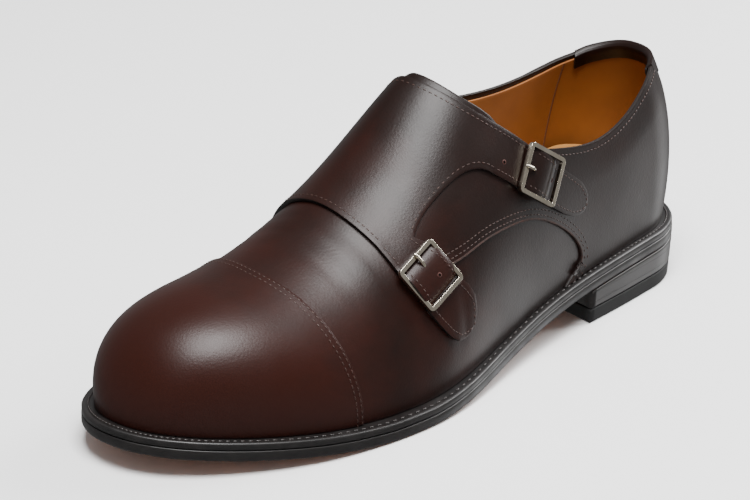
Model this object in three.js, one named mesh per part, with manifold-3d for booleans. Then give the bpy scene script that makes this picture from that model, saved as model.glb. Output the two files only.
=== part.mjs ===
// Monk strap shoe, left foot, two buckles and a toe cap.  All sizes in millimetres.
// Lengths x run from the back of the sole to its toe, y to the wearer's left (the outer
// side of a left foot) and z up from the floor.  The finished part is moved so that its
// bounding box stands centred on the origin.
import * as THREE from 'three';
import { mergeVertices } from 'three/addons/utils/BufferGeometryUtils.js';
import manifold from 'manifold-3d';

const wasm = await manifold();
wasm.setup();

// driving sizes
const LENGTH = 304;            // sole, heel to toe
const EDGE = 7.6;              // welt and outsole together at the edge
const WELT = 3.0;              // welt thickness
const JOINT = 0.3;             // clearance left between pieces that meet
const WALL = 2.2;              // upper leather and lining together
const TOP_PIECE = 6.0;         // rubber under the heel
const HEEL_LENGTH = 80;        // back of the heel to its breast
const HEEL_TAPER = 1.2;        // how far the heel draws in on its way down
const BREAST_HOLLOW = 3.5;     // hollow of the heel's front face
const STRAP = 1.6;             // strap panel thickness
const STRAP_LIFT = 0.55;       // strap panel above the upper
const TONGUE = 2.0;
const THROAT = 168;            // front of the opening in the upper
const FEATHER = [5, 298];      // ends of the line where upper meets welt
const BUCKLE = { length: 20.5, width: 20.5, bar: 1.8, thick: 1.7, axle: 1.5 };

// the sole's outline and the height of the welt's top
const SOLE_ROWS = {
  columns: ['x', 'centre', 'half', 'top'],
  rows: [
    [0, -0.7, 30.4, 25.0], [30, 0.0, 32.8, 24.4], [60, 2.8, 33.0, 23.4],
    [90, 6.0, 32.0, 21.0], [120, 8.4, 33.2, 17.0], [150, 8.4, 39.3, 12.2],
    [180, 5.8, 48.0, 8.5], [205, 2.0, 52.2, 7.35], [230, -1.6, 52.2, 8.6],
    [255, -4.9, 49.6, 11.0], [280, -8.1, 46.6, 13.8], [304, -10.7, 44.6, 16.6],
  ],
};
// the last above the feather line: height of the crown, where its ridge stands, how far
// the sides swell outside and inside, and how full the section is on top and at the side
const LAST_ROWS = {
  columns: ['x', 'crown', 'ridge', 'swellOut', 'swellIn', 'fullTop', 'fullSide'],
  rows: [
    [5, 91, 0.4, 2.5, 2.5, 2.0, 2.26], [40, 97.5, 0.8, 4, 4, 2.0, 2.24],
    [75, 104, 1.4, 4.5, 5.2, 2.0, 2.15], [105, 108.5, 0.8, 4.5, 7, 2.0, 2.04],
    [130, 107.5, -1.2, 4, 6.5, 2.0, 1.94], [155, 96, -3.2, 3.5, 4.9, 2.0, 1.93],
    [180, 78.5, -3.6, 3, 3.6, 2.0, 1.92], [205, 63.5, -4.2, 2.5, 3, 2.0, 1.95],
    [230, 51.6, -5.8, 2, 2.7, 2.07, 2.05], [255, 45, -8.3, 2, 3, 2.18, 2.16],
    [280, 43.2, -10.8, 2, 3.6, 2.3, 2.28], [298, 43.2, -12.6, 2, 4, 2.35, 2.32],
  ],
};
// how far the welt stands out past the upper
const WELT_ROWS = { columns: ['x', 'out'], rows: [[0, 5], [60, 4.5], [110, 3.5], [150, 4], [190, 5.5], [230, 6], [304, 6]] };
// height of the topline above the feather line, outside and inside
const TOPLINE_ROWS = {
  columns: ['x', 'outside', 'inside'],
  rows: [
    [5, 68, 68], [20, 67.7, 63.5], [45, 58.7, 60.5], [75, 53.8, 62.6],
    [100, 60.4, 68.2], [120, 69.5, 76.8], [134, 80, 88.9],
  ],
};
// half girth of the throat opening either side of the ridge, ahead of the topline
const THROAT_ROWS = { columns: ['x', 'outside', 'inside'], rows: [[128, 49, 34], [140, 37, 25], [150, 26, 20], [168, 19, 17]] };

// ---------------------------------------------------------------- curves
function spline(table, column) {
  const k = table.columns.indexOf(column);
  const x = table.rows.map((r) => r[0]);
  const y = table.rows.map((r) => r[k]);
  const n = x.length;
  const m = new Array(n).fill(0);
  const c = new Array(n).fill(0);
  const d = new Array(n).fill(0);
  for (let i = 1; i < n - 1; i++) {          // natural cubic, Thomas algorithm
    const h0 = x[i] - x[i - 1];
    const h1 = x[i + 1] - x[i];
    const r = 6 * ((y[i + 1] - y[i]) / h1 - (y[i] - y[i - 1]) / h0);
    const w = 2 * (h0 + h1) - h0 * c[i - 1];
    c[i] = h1 / w;
    d[i] = (r - h0 * d[i - 1]) / w;
  }
  for (let i = n - 2; i > 0; i--) m[i] = d[i] - c[i] * m[i + 1];
  return (t) => {
    let i = 0;
    while (i < n - 2 && t > x[i + 1]) i++;
    const h = x[i + 1] - x[i];
    const a = (x[i + 1] - t) / h;
    const b = (t - x[i]) / h;
    return a * y[i] + b * y[i + 1] + ((a ** 3 - a) * m[i] + (b ** 3 - b) * m[i + 1]) * h * h / 6;
  };
}
const soleCentre = spline(SOLE_ROWS, 'centre');
const soleHalf = spline(SOLE_ROWS, 'half');
const soleTop = spline(SOLE_ROWS, 'top');
const crown = spline(LAST_ROWS, 'crown');
const ridge = spline(LAST_ROWS, 'ridge');
const swell = { 1: spline(LAST_ROWS, 'swellOut'), [-1]: spline(LAST_ROWS, 'swellIn') };
const fullTop = spline(LAST_ROWS, 'fullTop');
const fullSide = spline(LAST_ROWS, 'fullSide');
const weltOut = spline(WELT_ROWS, 'out');
const topline = { 1: spline(TOPLINE_ROWS, 'outside'), [-1]: spline(TOPLINE_ROWS, 'inside') };
const throat = { 1: spline(THROAT_ROWS, 'outside'), [-1]: spline(THROAT_ROWS, 'inside') };

const clamp = (v, a, b) => Math.min(Math.max(v, a), b);
const lerp = (a, b, t) => a + (b - a) * t;
const smooth = (t) => { const s = clamp(t, 0, 1); return s * s * (3 - 2 * s); };

// how much of the width is left near the two rounded ends
function ends(x, x0, x1, heel, toe, heelPower, toePower) {
  const h = clamp((x0 + heel - x) / heel, 0, 1);
  const t = clamp((x - x1 + toe) / toe, 0, 1);
  return (1 - h ** heelPower) ** (1 / heelPower) * (1 - t ** toePower) ** (1 / toePower);
}
// height of the welt's top; the tread under the ball lies flat on the floor
const weltTop = (x) => Math.max(soleTop(x), EDGE);

// the sole's outline drawn in by d: f runs 0..1 from heel to toe, a across from -1 to 1
function soleAt(f, a, d) {
  const x = lerp(d, LENGTH - d, f);
  const w = (soleHalf(x) - d) * ends(x, d, LENGTH - d, 33 - d, 71 - d, 2.1, 2.14);
  return [x, soleCentre(x) + a * w];
}
// the feather line drawn in by d
function featherAt(f, a, d) {
  const x = lerp(FEATHER[0] + d, FEATHER[1] - d, f);
  return [x, soleCentre(x) + a * featherHalf(x, d)];
}
function featherHalf(x, d) {
  const w = soleHalf(x) - weltOut(x) - d;
  return w * ends(x, FEATHER[0] + d, FEATHER[1] - d, 30 - d / 2, 66 - d / 2, 2.1, 2.2);
}
// outer face of the last: u along, th up the side from the feather line to the crown,
// side 1 outside or -1 inside, t how far the face is drawn in
function last(u, th, side, t = 0) {
  const f = (u - FEATHER[0]) / (FEATHER[1] - FEATHER[0]);
  const x = lerp(FEATHER[0] + t, FEATHER[1] - t, f);
  const w = featherHalf(x, t);
  const near = w / soleHalf(x);
  const mid = soleCentre(x);
  const top = lerp(mid, ridge(u), clamp(near * 2, 0, 1));
  const toe = clamp((u - FEATHER[1] + 52) / 52, 0, 1);
  const h = (crown(u) - t) * Math.sqrt(1 - toe ** 2.3);
  const c = Math.max(Math.cos(th), 0) ** (2 / fullTop(u));
  const s = Math.max(Math.sin(th), 0) ** (2 / fullSide(u));
  const bulge = side * swell[side](u) * near * 1.2 * Math.sin(2 * th) * Math.cos(th);
  const rise = h * s;
  const heel = -15 * (rise / 52.8) * (1 - rise / 52.8);
  const fade = clamp(1 - (u - FEATHER[0]) / 85, 0, 1) ** 2;
  return [x + heel * fade, top + (mid + side * w - top) * c + bulge, weltTop(x) + JOINT + rise];
}
// arc length down the section from the ridge, and the angle that gives it
const sections = new Map();
function section(u, side) {
  const key = `${side}:${u.toFixed(2)}`;
  if (!sections.has(key)) {
    const rows = [[0, Math.PI / 2]];
    let p = last(u, Math.PI / 2, side);
    let v = 0;
    for (let i = 1; i <= 48; i++) {
      const th = Math.PI / 2 * (1 - i / 48);
      const q = last(u, th, side);
      v += Math.hypot(q[1] - p[1], q[2] - p[2]);
      rows.push([v, th]);
      p = q;
    }
    sections.set(key, rows);
  }
  return sections.get(key);
}
function angle(u, side, v) {
  const rows = section(u, side);
  let i = 0;
  while (i < rows.length - 2 && v > rows[i + 1][0]) i++;
  return lerp(rows[i][1], rows[i + 1][1], (v - rows[i][0]) / (rows[i + 1][0] - rows[i][0]));
}
// a point on the last: u along, v mm round the section from the ridge (outside positive),
// lifted along the surface's own normal
function surface(u, v, lift = 0) {
  const at = (a, b) => {
    const side = b < 0 ? -1 : 1;
    return new THREE.Vector3(...last(a, angle(a, side, Math.abs(b)), side));
  };
  const p = at(u, v);
  const du = at(u + 1.5, v).sub(at(u - 1.5, v));
  const dv = at(u, v + 1.5).sub(at(u, v - 1.5));
  const n = du.cross(dv).normalize();
  return p.addScaledVector(n, lift);
}

// ---------------------------------------------------------------- solids
// a closed solid from a sheet of quads: outer face, inner face, walls round every edge
function shell(points, quads, outer, inner) {
  const seen = new Map();
  const index = [];
  const top = [];
  const bottom = [];
  for (const p of points) {
    const q = outer(p);
    const key = q.map((c) => Math.round(c * 2000)).join(',');
    if (!seen.has(key)) { seen.set(key, top.length); top.push(q); bottom.push(inner(p)); }
    index.push(seen.get(key));
  }
  const n = top.length;
  const tris = [];
  for (const [a, b, c, d] of quads) {
    for (const t of [[a, b, c], [a, c, d]]) {
      const [i, j, k] = t.map((s) => index[s]);
      if (i !== j && j !== k && k !== i) tris.push([i, j, k]);
    }
  }
  const edges = new Set();
  for (const t of tris) for (let i = 0; i < 3; i++) edges.add(`${t[i]}_${t[(i + 1) % 3]}`);
  const all = [];
  for (const t of tris) {
    all.push(t, [t[2] + n, t[1] + n, t[0] + n]);
    for (let i = 0; i < 3; i++) {
      const a = t[i];
      const b = t[(i + 1) % 3];
      if (!edges.has(`${b}_${a}`)) all.push([b, a, a + n], [b, a + n, b + n]);
    }
  }
  return { vertices: [...top, ...bottom], triangles: all };
}
function toMesh(name, solid, colour, roughness = 0.6, metalness = 0) {
  const geometry = new THREE.BufferGeometry();
  geometry.setAttribute('position', new THREE.Float32BufferAttribute(solid.vertices.flat(), 3));
  geometry.setIndex(solid.triangles.flat());
  geometry.computeVertexNormals();
  const material = new THREE.MeshStandardMaterial({ color: colour, roughness, metalness });
  const mesh = new THREE.Mesh(geometry, material);
  mesh.name = name;
  return mesh;
}
// rows x columns of points joined by quads
function grid(rows, columns, at) {
  const points = [];
  const quads = [];
  for (let i = 0; i < rows; i++) for (let j = 0; j < columns; j++) points.push(at(i, j));
  for (let i = 0; i + 1 < rows; i++) {
    for (let j = 0; j + 1 < columns; j++) {
      const k = i * columns + j;
      quads.push([k, k + columns, k + columns + 1, k + 1]);
    }
  }
  return { points, quads };
}
function join(...sheets) {
  const points = [];
  const quads = [];
  for (const s of sheets) {
    const n = points.length;
    points.push(...s.points);
    quads.push(...s.quads.map((q) => q.map((i) => i + n)));
  }
  return { points, quads };
}
const ease = (s) => (1 - Math.cos(Math.PI * s)) / 2;

// flat-sided plate between two heights, outline given at the top and at the bottom
function plate(rows, topOutline, bottomOutline, topHeight, bottomHeight) {
  const sheet = grid(rows, 5, (i, j) => [ease(i / (rows - 1)), j / 2 - 1]);
  const level = (outline, height) => ([f, a]) => {
    const [x, y] = outline(f, a);
    return [x, y, height(x)];
  };
  return shell(sheet.points, sheet.quads, level(topOutline, topHeight), level(bottomOutline, bottomHeight));
}
function outsole() {
  return plate(49, (f, a) => soleAt(f, a, 0), (f, a) => soleAt(f, a, 0.4),
    (x) => weltTop(x) - WELT - JOINT, (x) => weltTop(x) - EDGE);
}
function insole() {
  return plate(45, (f, a) => featherAt(f, a, WALL + 0.8), (f, a) => featherAt(f, a, 7.2),
    (x) => weltTop(x) + 3.3, (x) => weltTop(x) - WELT);
}
function welt() {
  const n = 49;
  const sheet = grid(2 * n - 1, 2, (i, j) => {
    const side = i < n ? 1 : -1;
    return [ease((i < n ? i : 2 * n - 2 - i) / (n - 1)), side, j];
  });
  const at = (drop) => ([f, side, j]) => {
    const [x, y] = j ? featherAt(f, side, 4.6) : soleAt(f, side, 0.3);
    return [x, y, weltTop(x) - drop];
  };
  return flip(shell(sheet.points, sheet.quads, at(0), at(WELT)));
}
function flip(solid) {
  return { vertices: solid.vertices, triangles: solid.triangles.map(([a, b, c]) => [c, b, a]) };
}
function heelPart(topHeight, bottomHeight) {
  const outline = (drop) => ([s, a]) => {
    const d = HEEL_TAPER * drop;
    const edge = lerp(d, HEEL_LENGTH, s);
    const w = (soleHalf(edge) - d) * ends(edge, d, LENGTH - d, 33 - d, 71, 2.1, 2.14);
    const x = edge - BREAST_HOLLOW * (1 - a * a) * smooth((s - 0.4) / 0.6);
    return [x, soleCentre(edge) + a * w];
  };
  const n = 17;
  const sheet = grid(n, 7, (i, j) => [1 - Math.cos(Math.PI / 2 * i / (n - 1)), j / 3 - 1]);
  const level = (height) => (p) => {
    const [x] = outline(0)(p);
    const z = height(x);
    const [xx, y] = outline(1 - z / 17)(p);
    return [xx, y, height(xx)];
  };
  return shell(sheet.points, sheet.quads, level(topHeight), level(bottomHeight));
}

// upper: one hollow wall from the feather line to the topline, open over the throat
function openAngle(u, side) {
  if (u >= THROAT) return Math.PI / 2;
  const h = crown(u);
  const low = Math.asin(clamp(topline[side](Math.min(u, 134)) / h, 0, 1) ** (fullSide(u) / 2));
  if (u <= 128) return low;
  const round = u > 150 ? Math.sqrt(Math.max(1 - ((u - 150) / (THROAT - 150)) ** 2, 0)) : 1;
  const open = angle(u, side, throat[side](u) * round);
  return lerp(low, open, smooth((u - 128) / 8));
}
function upper() {
  const extra = [139, 145, 151, 157, 161, 164.5, 167, THROAT];
  const cos = Array.from({ length: 45 }, (_, i) => lerp(FEATHER[0], FEATHER[1], ease(i / 44)));
  const u = [...cos.filter((x) => extra.every((e) => Math.abs(x - e) > 2.2)), ...extra];
  u.sort((a, b) => a - b);
  const half = (side) => grid(u.length, 11, (i, j) => {
    const s = side > 0 ? j / 10 : 1 - j / 10;
    return [u[i], openAngle(u[i], side) * (1 - s), side];
  });
  const sheet = join(half(-1), half(1));
  return shell(sheet.points, sheet.quads,
    ([x, th, side]) => last(x, th, side, 0), ([x, th, side]) => last(x, th, side, WALL));
}

// ---------------------------------------------------------------- strap panel and tongue
// edges of the strap panel as (u, v) on the last; both run from the inside over the ridge
const PANEL_TOP = [[72, -51.5], [90, -50.3], [106, -47.6], [122, -39.5], [134, -29.5], [142, -19],
  [147, -9], [148.2, 0], [147, 10.5], [142, 24.5], [134, 37.5], [128.5, 44.5]];
const PANEL_FRONT = [[76, -98], [100, -90], [125, -79], [150, -71], [170, -65.5], [185, -60],
  [191, -45], [195, -23], [197.7, -9.5], [198.3, 4], [198.3, 17], [197.2, 31]];
const PANEL_BACK = [[72, -51.5], [73, -67], [75, -83], [76, -98]];
const ARCH = [[128.5, 44.5], [134.5, 48.8], [141.5, 53.8], [146, 48.4], [152, 44], [160, 40.8],
  [169, 39], [177, 38.6], [183.6, 40.5], [190, 36.5], [197.2, 31]];
// straps: centre line, half width and bump over the buckle's axle
const UPPER_STRAP = {
  columns: ['u', 'v', 'half'],
  rows: [[135, 49.15, 8.0], [126, 59, 7.1], [117, 67, 6.9], [107, 74.5, 6.9], [98, 80.5, 6.8], [91, 84.2, 6.2], [87, 86, 3.6]],
};
const LOWER_STRAP = {
  columns: ['u', 'v', 'half'],
  rows: [[190.4, 35.75, 8.3], [188, 46, 6.4], [184.4, 57, 6.4], [180, 68, 6.6], [174.5, 78.5, 6.8], [170.5, 85.5, 6.2], [168, 89.5, 3.4]],
};

// smooth curve through points, t from 0 to 1 by length
function curve(points) {
  const c = new THREE.CatmullRomCurve3(points.map(([a, b]) => new THREE.Vector3(a, b, 0)), false, 'centripetal');
  return (t) => { const p = c.getPointAt(clamp(t, 0, 1)); return [p.x, p.y]; };
}
function coons(nu, nv, c0, c1, d0, d1) {       // c along u at v=0 and 1, d along v at u=0 and 1
  return grid(nu + 1, nv + 1, (i, j) => {
    const s = i / nu;
    const t = j / nv;
    return [0, 1].map((k) => (1 - t) * c0(s)[k] + t * c1(s)[k] + (1 - s) * d0(t)[k] + s * d1(t)[k]
      - (1 - s) * (1 - t) * c0(0)[k] - s * (1 - t) * c0(1)[k] - (1 - s) * t * c1(0)[k] - s * t * c1(1)[k]);
  });
}
function broken(points, cuts) {                // straight along the roots, smooth between
  return (t) => {
    const i = cuts.findIndex((c, k) => k + 1 < cuts.length && t <= cuts[k + 1][0] + 1e-9);
    const [t0, a] = cuts[i];
    const [t1, b] = cuts[i + 1];
    return curve(points.slice(a, b + 1))((t - t0) / (t1 - t0));
  };
}
function strapSheet(strap, steps, across, rootA, rootB) {
  const mid = curve(strap.rows.map((r) => [r[0], r[1]]));
  const widths = strap.rows.map((r) => r[2]);
  const half = (t) => {
    const k = Math.min(Math.floor(t * (widths.length - 1)), widths.length - 2);
    return lerp(widths[k], widths[k + 1], t * (widths.length - 1) - k);
  };
  return grid(steps + 1, across + 1, (i, j) => {
    const t = i / steps;
    const a = mid(t - 0.01);
    const b = mid(t + 0.01);
    const l = Math.hypot(b[0] - a[0], b[1] - a[1]);
    const n = [(b[1] - a[1]) / l, -(b[0] - a[0]) / l];
    const w = (j / across * 2 - 1) * half(t);
    const m = mid(t);
    const free = [m[0] + n[0] * w, m[1] + n[1] * w];
    const root = [lerp(rootA[0], rootB[0], j / across), lerp(rootA[1], rootB[1], j / across)];
    const k = smooth(t / 0.22);
    return [lerp(root[0], free[0], k), lerp(root[1], free[1], k)];
  });
}
// buckles: middle and heading of each strap there, lift filled in so the frame rides
// just over the strap, tilt of the frame along the strap
const BUCKLES = {
  upper: { at: [117.5, 66.6], along: [-0.78, 0.62], tilt: 0.1 },
  lower: { at: [185.0, 55.2], along: [-0.32, 0.947], tilt: 0 },
};
function buckleFrame(b) {
  const [u, v] = b.at;
  const p = surface(u, v, 0);
  const q = surface(u + b.along[0] * 4, v + b.along[1] * 4, 0);
  const r = surface(u - b.along[0] * 4, v - b.along[1] * 4, 0);
  const n = surface(u, v, 1).sub(p).normalize();
  const e1 = q.sub(r).normalize();
  e1.addScaledVector(n, b.tilt).normalize();
  const e2 = new THREE.Vector3().crossVectors(n, e1).normalize();
  const e3 = new THREE.Vector3().crossVectors(e1, e2).normalize();
  return new THREE.Matrix4().makeBasis(e1, e2, e3).setPosition(p);
}
for (const b of Object.values(BUCKLES)) {
  const inverse = buckleFrame(b).invert();
  b.lift = 0;
  for (const end of [-1, 1]) {
    for (let i = -3; i <= 3; i++) {
      for (const reach of [BUCKLE.length / 2, BUCKLE.length / 2 - BUCKLE.bar]) {
        const d = end * reach;
        const e = i * 3.3;
        const u = b.at[0] + b.along[0] * d + b.along[1] * e;
        const v = b.at[1] + b.along[1] * d - b.along[0] * e;
        const z = surface(u, v, STRAP_LIFT + STRAP).applyMatrix4(inverse).z;
        b.lift = Math.max(b.lift, z + 0.6);
      }
    }
  }
}
// lift of the strap panel's under face: a swell over each axle
function panelLift(u, v) {
  let lift = STRAP_LIFT;
  for (const b of Object.values(BUCKLES)) {
    const d = (u - b.at[0]) * b.along[0] + (v - b.at[1]) * b.along[1];
    const e = (u - b.at[0]) * b.along[1] - (v - b.at[1]) * b.along[0];
    const height = b.lift + 2.0 - STRAP_LIFT;
    if (Math.abs(e) < 12) lift += height * Math.exp(-((d / 3.7) ** 2)) * smooth((12 - Math.abs(e)) / 3);
  }
  return lift;
}
function panelThickness(u, v) {
  return v < 0 ? lerp(0.5, STRAP, smooth((u - 74) / 40)) : STRAP;
}
function strapPanel() {
  const a = 3;                                 // quads across the upper strap
  const m = 9;                                 // round the cut-out
  const b = 3;                                 // across the lower strap
  const nv = a + m + b;
  const arch = broken(ARCH, [[0, 0], [a / nv, 2], [(a + m) / nv, 8], [1, 10]]);
  const back = curve(PANEL_BACK);
  const body = coons(26, nv, curve(PANEL_TOP), curve(PANEL_FRONT), back, arch);
  const turn = (s) => ({ points: s.points, quads: s.quads.map(([p, q, r, t]) => [t, r, q, p]) });
  const upperStrap = strapSheet(UPPER_STRAP, 24, a, ARCH[0], ARCH[2]);
  const lowerStrap = strapSheet(LOWER_STRAP, 24, b, ARCH[8], ARCH[10]);
  // share the roots exactly with the body
  for (let j = 0; j <= a; j++) upperStrap.points[j] = arch(j / nv);
  for (let j = 0; j <= b; j++) lowerStrap.points[j] = arch((a + m + j) / nv);
  const sheet = turn(join(body, upperStrap, lowerStrap));
  const face = (top) => ([u, v]) => surface(u, v, panelLift(u, v) + (top ? panelThickness(u, v) : 0)).toArray();
  return shell(sheet.points, sheet.quads, face(true), face(false));
}
function tongue() {
  const top = curve([[139, -23], [142.6, -16], [144.6, -6], [144.8, 4], [143, 14], [139, 24], [133.5, 32]]);
  const front = curve([[182, -24], [183, -12], [183, 0], [183, 12], [182, 26]]);
  const sheet = grid(13, 9, (i, j) => {
    const s = j / 8;
    const a = top(s);
    const b = front(s);
    return [lerp(a[0], b[0], i / 12), lerp(a[1], b[1], i / 12)];
  });
  const lift = ([u, v]) => {
    const open = 1 - smooth((Math.abs(v - 3) - 10) / 9);
    return -WALL - 0.35 + 1.9 * open * (1 - smooth((u - 150) / 9));
  };
  return shell(sheet.points, sheet.quads,
    (p) => surface(p[0], p[1], lift(p)).toArray(), (p) => surface(p[0], p[1], lift(p) - TONGUE).toArray());
}

// ---------------------------------------------------------------- buckles
// a closed three.js geometry as a solid that can be joined, and back again
function solidOf(geometry) {
  geometry.deleteAttribute('normal');
  geometry.deleteAttribute('uv');
  const merged = mergeVertices(geometry, 1e-4);
  return new wasm.Manifold(new wasm.Mesh({
    numProp: 3,
    vertProperties: Float32Array.from(merged.attributes.position.array),
    triVerts: Uint32Array.from(merged.index.array),
  }));
}
function facesOf(solid) {
  const g = solid.getMesh();
  const vertices = [];
  const triangles = [];
  for (let i = 0; i < g.numVert; i++) {
    vertices.push([...g.vertProperties.slice(i * g.numProp, i * g.numProp + 3)]);
  }
  for (let i = 0; i < g.numTri; i++) triangles.push([...g.triVerts.slice(3 * i, 3 * i + 3)]);
  return { vertices, triangles };
}
function roundedRectangle(path, l, w, r) {
  path.moveTo(-l / 2 + r, -w / 2);
  path.lineTo(l / 2 - r, -w / 2).absarc(l / 2 - r, -w / 2 + r, r, -Math.PI / 2, 0);
  path.lineTo(l / 2, w / 2 - r).absarc(l / 2 - r, w / 2 - r, r, 0, Math.PI / 2);
  path.lineTo(-l / 2 + r, w / 2).absarc(-l / 2 + r, w / 2 - r, r, Math.PI / 2, Math.PI);
  path.lineTo(-l / 2, -w / 2 + r).absarc(-l / 2 + r, -w / 2 + r, r, Math.PI, Math.PI * 1.5);
  return path;
}
function buckle(b) {
  const { length, width, bar, thick, axle } = BUCKLE;
  const outline = roundedRectangle(new THREE.Shape(), length, width, 2);
  outline.holes.push(roundedRectangle(new THREE.Path(), length - 2 * bar, width - 2 * bar, 0.8));
  const frame = new THREE.ExtrudeGeometry(outline, { depth: thick, bevelEnabled: false, curveSegments: 3 });
  frame.translate(0, 0, b.lift);
  const pin = new THREE.CylinderGeometry(axle / 2, axle / 2, width - 1.2, 10);
  pin.translate(0, 0, b.lift - 1.1);
  let whole = solidOf(frame).add(solidOf(pin));
  for (const e of [-1, 1]) {
    const lug = new THREE.BoxGeometry(bar, bar, 1.6);
    lug.translate(0, e * (width - bar) / 2, b.lift - 0.6);
    whole = whole.add(solidOf(lug));
  }
  const m = buckleFrame(b);
  const solid = facesOf(whole);
  solid.vertices = solid.vertices.map((p) => new THREE.Vector3(...p).applyMatrix4(m).toArray());
  return solid;
}
function prong(b) {
  const reach = BUCKLE.length / 2 - 4;
  const rod = new THREE.CylinderGeometry(0.65, 0.5, reach, 10);
  rod.rotateZ(Math.PI / 2);
  rod.translate(-3.6 - reach / 2, 0, b.lift + BUCKLE.thick + JOINT + 1.55);
  rod.applyMatrix4(buckleFrame(b));
  return facesOf(solidOf(rod));
}

// ---------------------------------------------------------------- assembly
const shoe = new THREE.Group();
shoe.name = 'monk_strap_shoe';
const under = (x) => weltTop(x) - EDGE - JOINT;
shoe.add(
  toMesh('outsole', outsole(), '#8a4d22'),
  toMesh('welt', welt(), '#16110f'),
  toMesh('heel_stack', heelPart(under, () => TOP_PIECE + JOINT), '#14100e', 0.45),
  toMesh('top_piece', heelPart(() => TOP_PIECE, () => 0), '#0e0d0d', 0.8),
  toMesh('insole', insole(), '#b98a4e', 0.7),
  toMesh('upper', upper(), '#2c1a14', 0.4),
  toMesh('tongue', tongue(), '#2a1812', 0.45),
  toMesh('strap_panel', strapPanel(), '#301c15', 0.4),
  toMesh('upper_buckle', buckle(BUCKLES.upper), '#c9bfae', 0.25, 1),
  toMesh('upper_prong', prong(BUCKLES.upper), '#c9bfae', 0.25, 1),
  toMesh('lower_buckle', buckle(BUCKLES.lower), '#c9bfae', 0.25, 1),
  toMesh('lower_prong', prong(BUCKLES.lower), '#c9bfae', 0.25, 1),
);
const box = new THREE.Box3().setFromObject(shoe);
const middle = box.getCenter(new THREE.Vector3());
for (const mesh of shoe.children) mesh.geometry.translate(-middle.x, -middle.y, -box.min.z);

export default shoe;
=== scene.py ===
"""Looks of a man's left monk strap shoe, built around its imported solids."""
import math

import bmesh
import bpy
import numpy as np
from mathutils import Matrix, Vector


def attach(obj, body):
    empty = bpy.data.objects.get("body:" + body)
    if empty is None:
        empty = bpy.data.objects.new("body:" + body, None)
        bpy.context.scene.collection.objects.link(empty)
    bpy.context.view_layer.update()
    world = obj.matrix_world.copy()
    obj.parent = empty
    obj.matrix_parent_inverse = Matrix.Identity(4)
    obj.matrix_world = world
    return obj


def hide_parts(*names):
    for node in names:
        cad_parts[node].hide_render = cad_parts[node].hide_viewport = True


bl_info = {
    "name": "Monk strap shoe",
    "version": (1, 0, 0),
    "blender": (4, 5, 0),
    "location": "View3D > Sidebar > Shoe",
    "description": "Builds a welted monk strap shoe with two buckles",
    "category": "Object",
}

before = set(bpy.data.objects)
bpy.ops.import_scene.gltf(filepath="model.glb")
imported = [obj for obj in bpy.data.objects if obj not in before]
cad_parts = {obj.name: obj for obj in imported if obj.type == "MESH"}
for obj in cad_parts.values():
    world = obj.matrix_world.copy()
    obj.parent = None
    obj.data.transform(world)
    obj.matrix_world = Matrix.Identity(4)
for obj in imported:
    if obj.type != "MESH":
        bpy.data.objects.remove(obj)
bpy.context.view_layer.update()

# Everything below is worked out in millimetres on the shoe's own lengths: x from the back
# of the sole, y to the outer side, z up from the floor.  MIDDLE brings it to the frame.
MIDDLE = np.array([152.0, 0.236, 0.0])
LENGTH, EDGE, WELT, JOINT, WALL = 304.0, 7.6, 3.0, 0.3, 2.2
HEEL_LENGTH, HEEL_TAPER, BREAST_HOLLOW, TOP_PIECE = 80.0, 1.2, 3.5, 6.0
WELT_STITCHES = 228
FEATHER = (5.0, 298.0)         # ends of the line where the upper meets the welt
THROAT = 168.0                 # front end of the opening, under the straps
SOLE = {  # x: centre, half width, height of the welt's top
    0: (-0.7, 30.4, 25.0), 30: (0, 32.8, 24.4), 60: (2.8, 33, 23.4), 90: (6, 32, 21),
    120: (8.4, 33.2, 17), 150: (8.4, 39.3, 12.2), 180: (5.8, 48, 8.5), 205: (2, 52.2, 7.35),
    230: (-1.6, 52.2, 8.6), 255: (-4.9, 49.6, 11), 280: (-8.1, 46.6, 13.8),
    304: (-10.7, 44.6, 16.6)}
LAST = {  # x: crown height, ridge, swell outside, swell inside, fullness on top, at the side
    5: (91, .4, 2.5, 2.5, 2, 2.26), 40: (97.5, .8, 4, 4, 2, 2.24), 75: (104, 1.4, 4.5, 5.2, 2, 2.15),
    105: (108.5, .8, 4.5, 7, 2, 2.04), 130: (107.5, -1.2, 4, 6.5, 2, 1.94),
    155: (96, -3.2, 3.5, 4.9, 2, 1.93), 180: (78.5, -3.6, 3, 3.6, 2, 1.92),
    205: (63.5, -4.2, 2.5, 3, 2, 1.95), 230: (51.6, -5.8, 2, 2.7, 2.07, 2.05),
    255: (45, -8.3, 2, 3, 2.18, 2.16), 280: (43.2, -10.8, 2, 3.6, 2.3, 2.28),
    298: (43.2, -12.6, 2, 4, 2.35, 2.32)}
WELT_OUT = {0: (5,), 60: (4.5,), 110: (3.5,), 150: (4,), 190: (5.5,), 230: (6,), 304: (6,)}
TOPLINE = {  # x: height above the feather line outside, inside
    5: (68, 68), 20: (67.7, 63.5), 45: (58.7, 60.5), 75: (53.8, 62.6), 100: (60.4, 68.2),
    120: (69.5, 76.8), 134: (80, 88.9)}
THROAT_OPEN = {  # x: girth of the opening outside, inside
    128: (49, 34), 140: (37, 25), 150: (26, 20), 168: (19, 17)}


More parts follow.
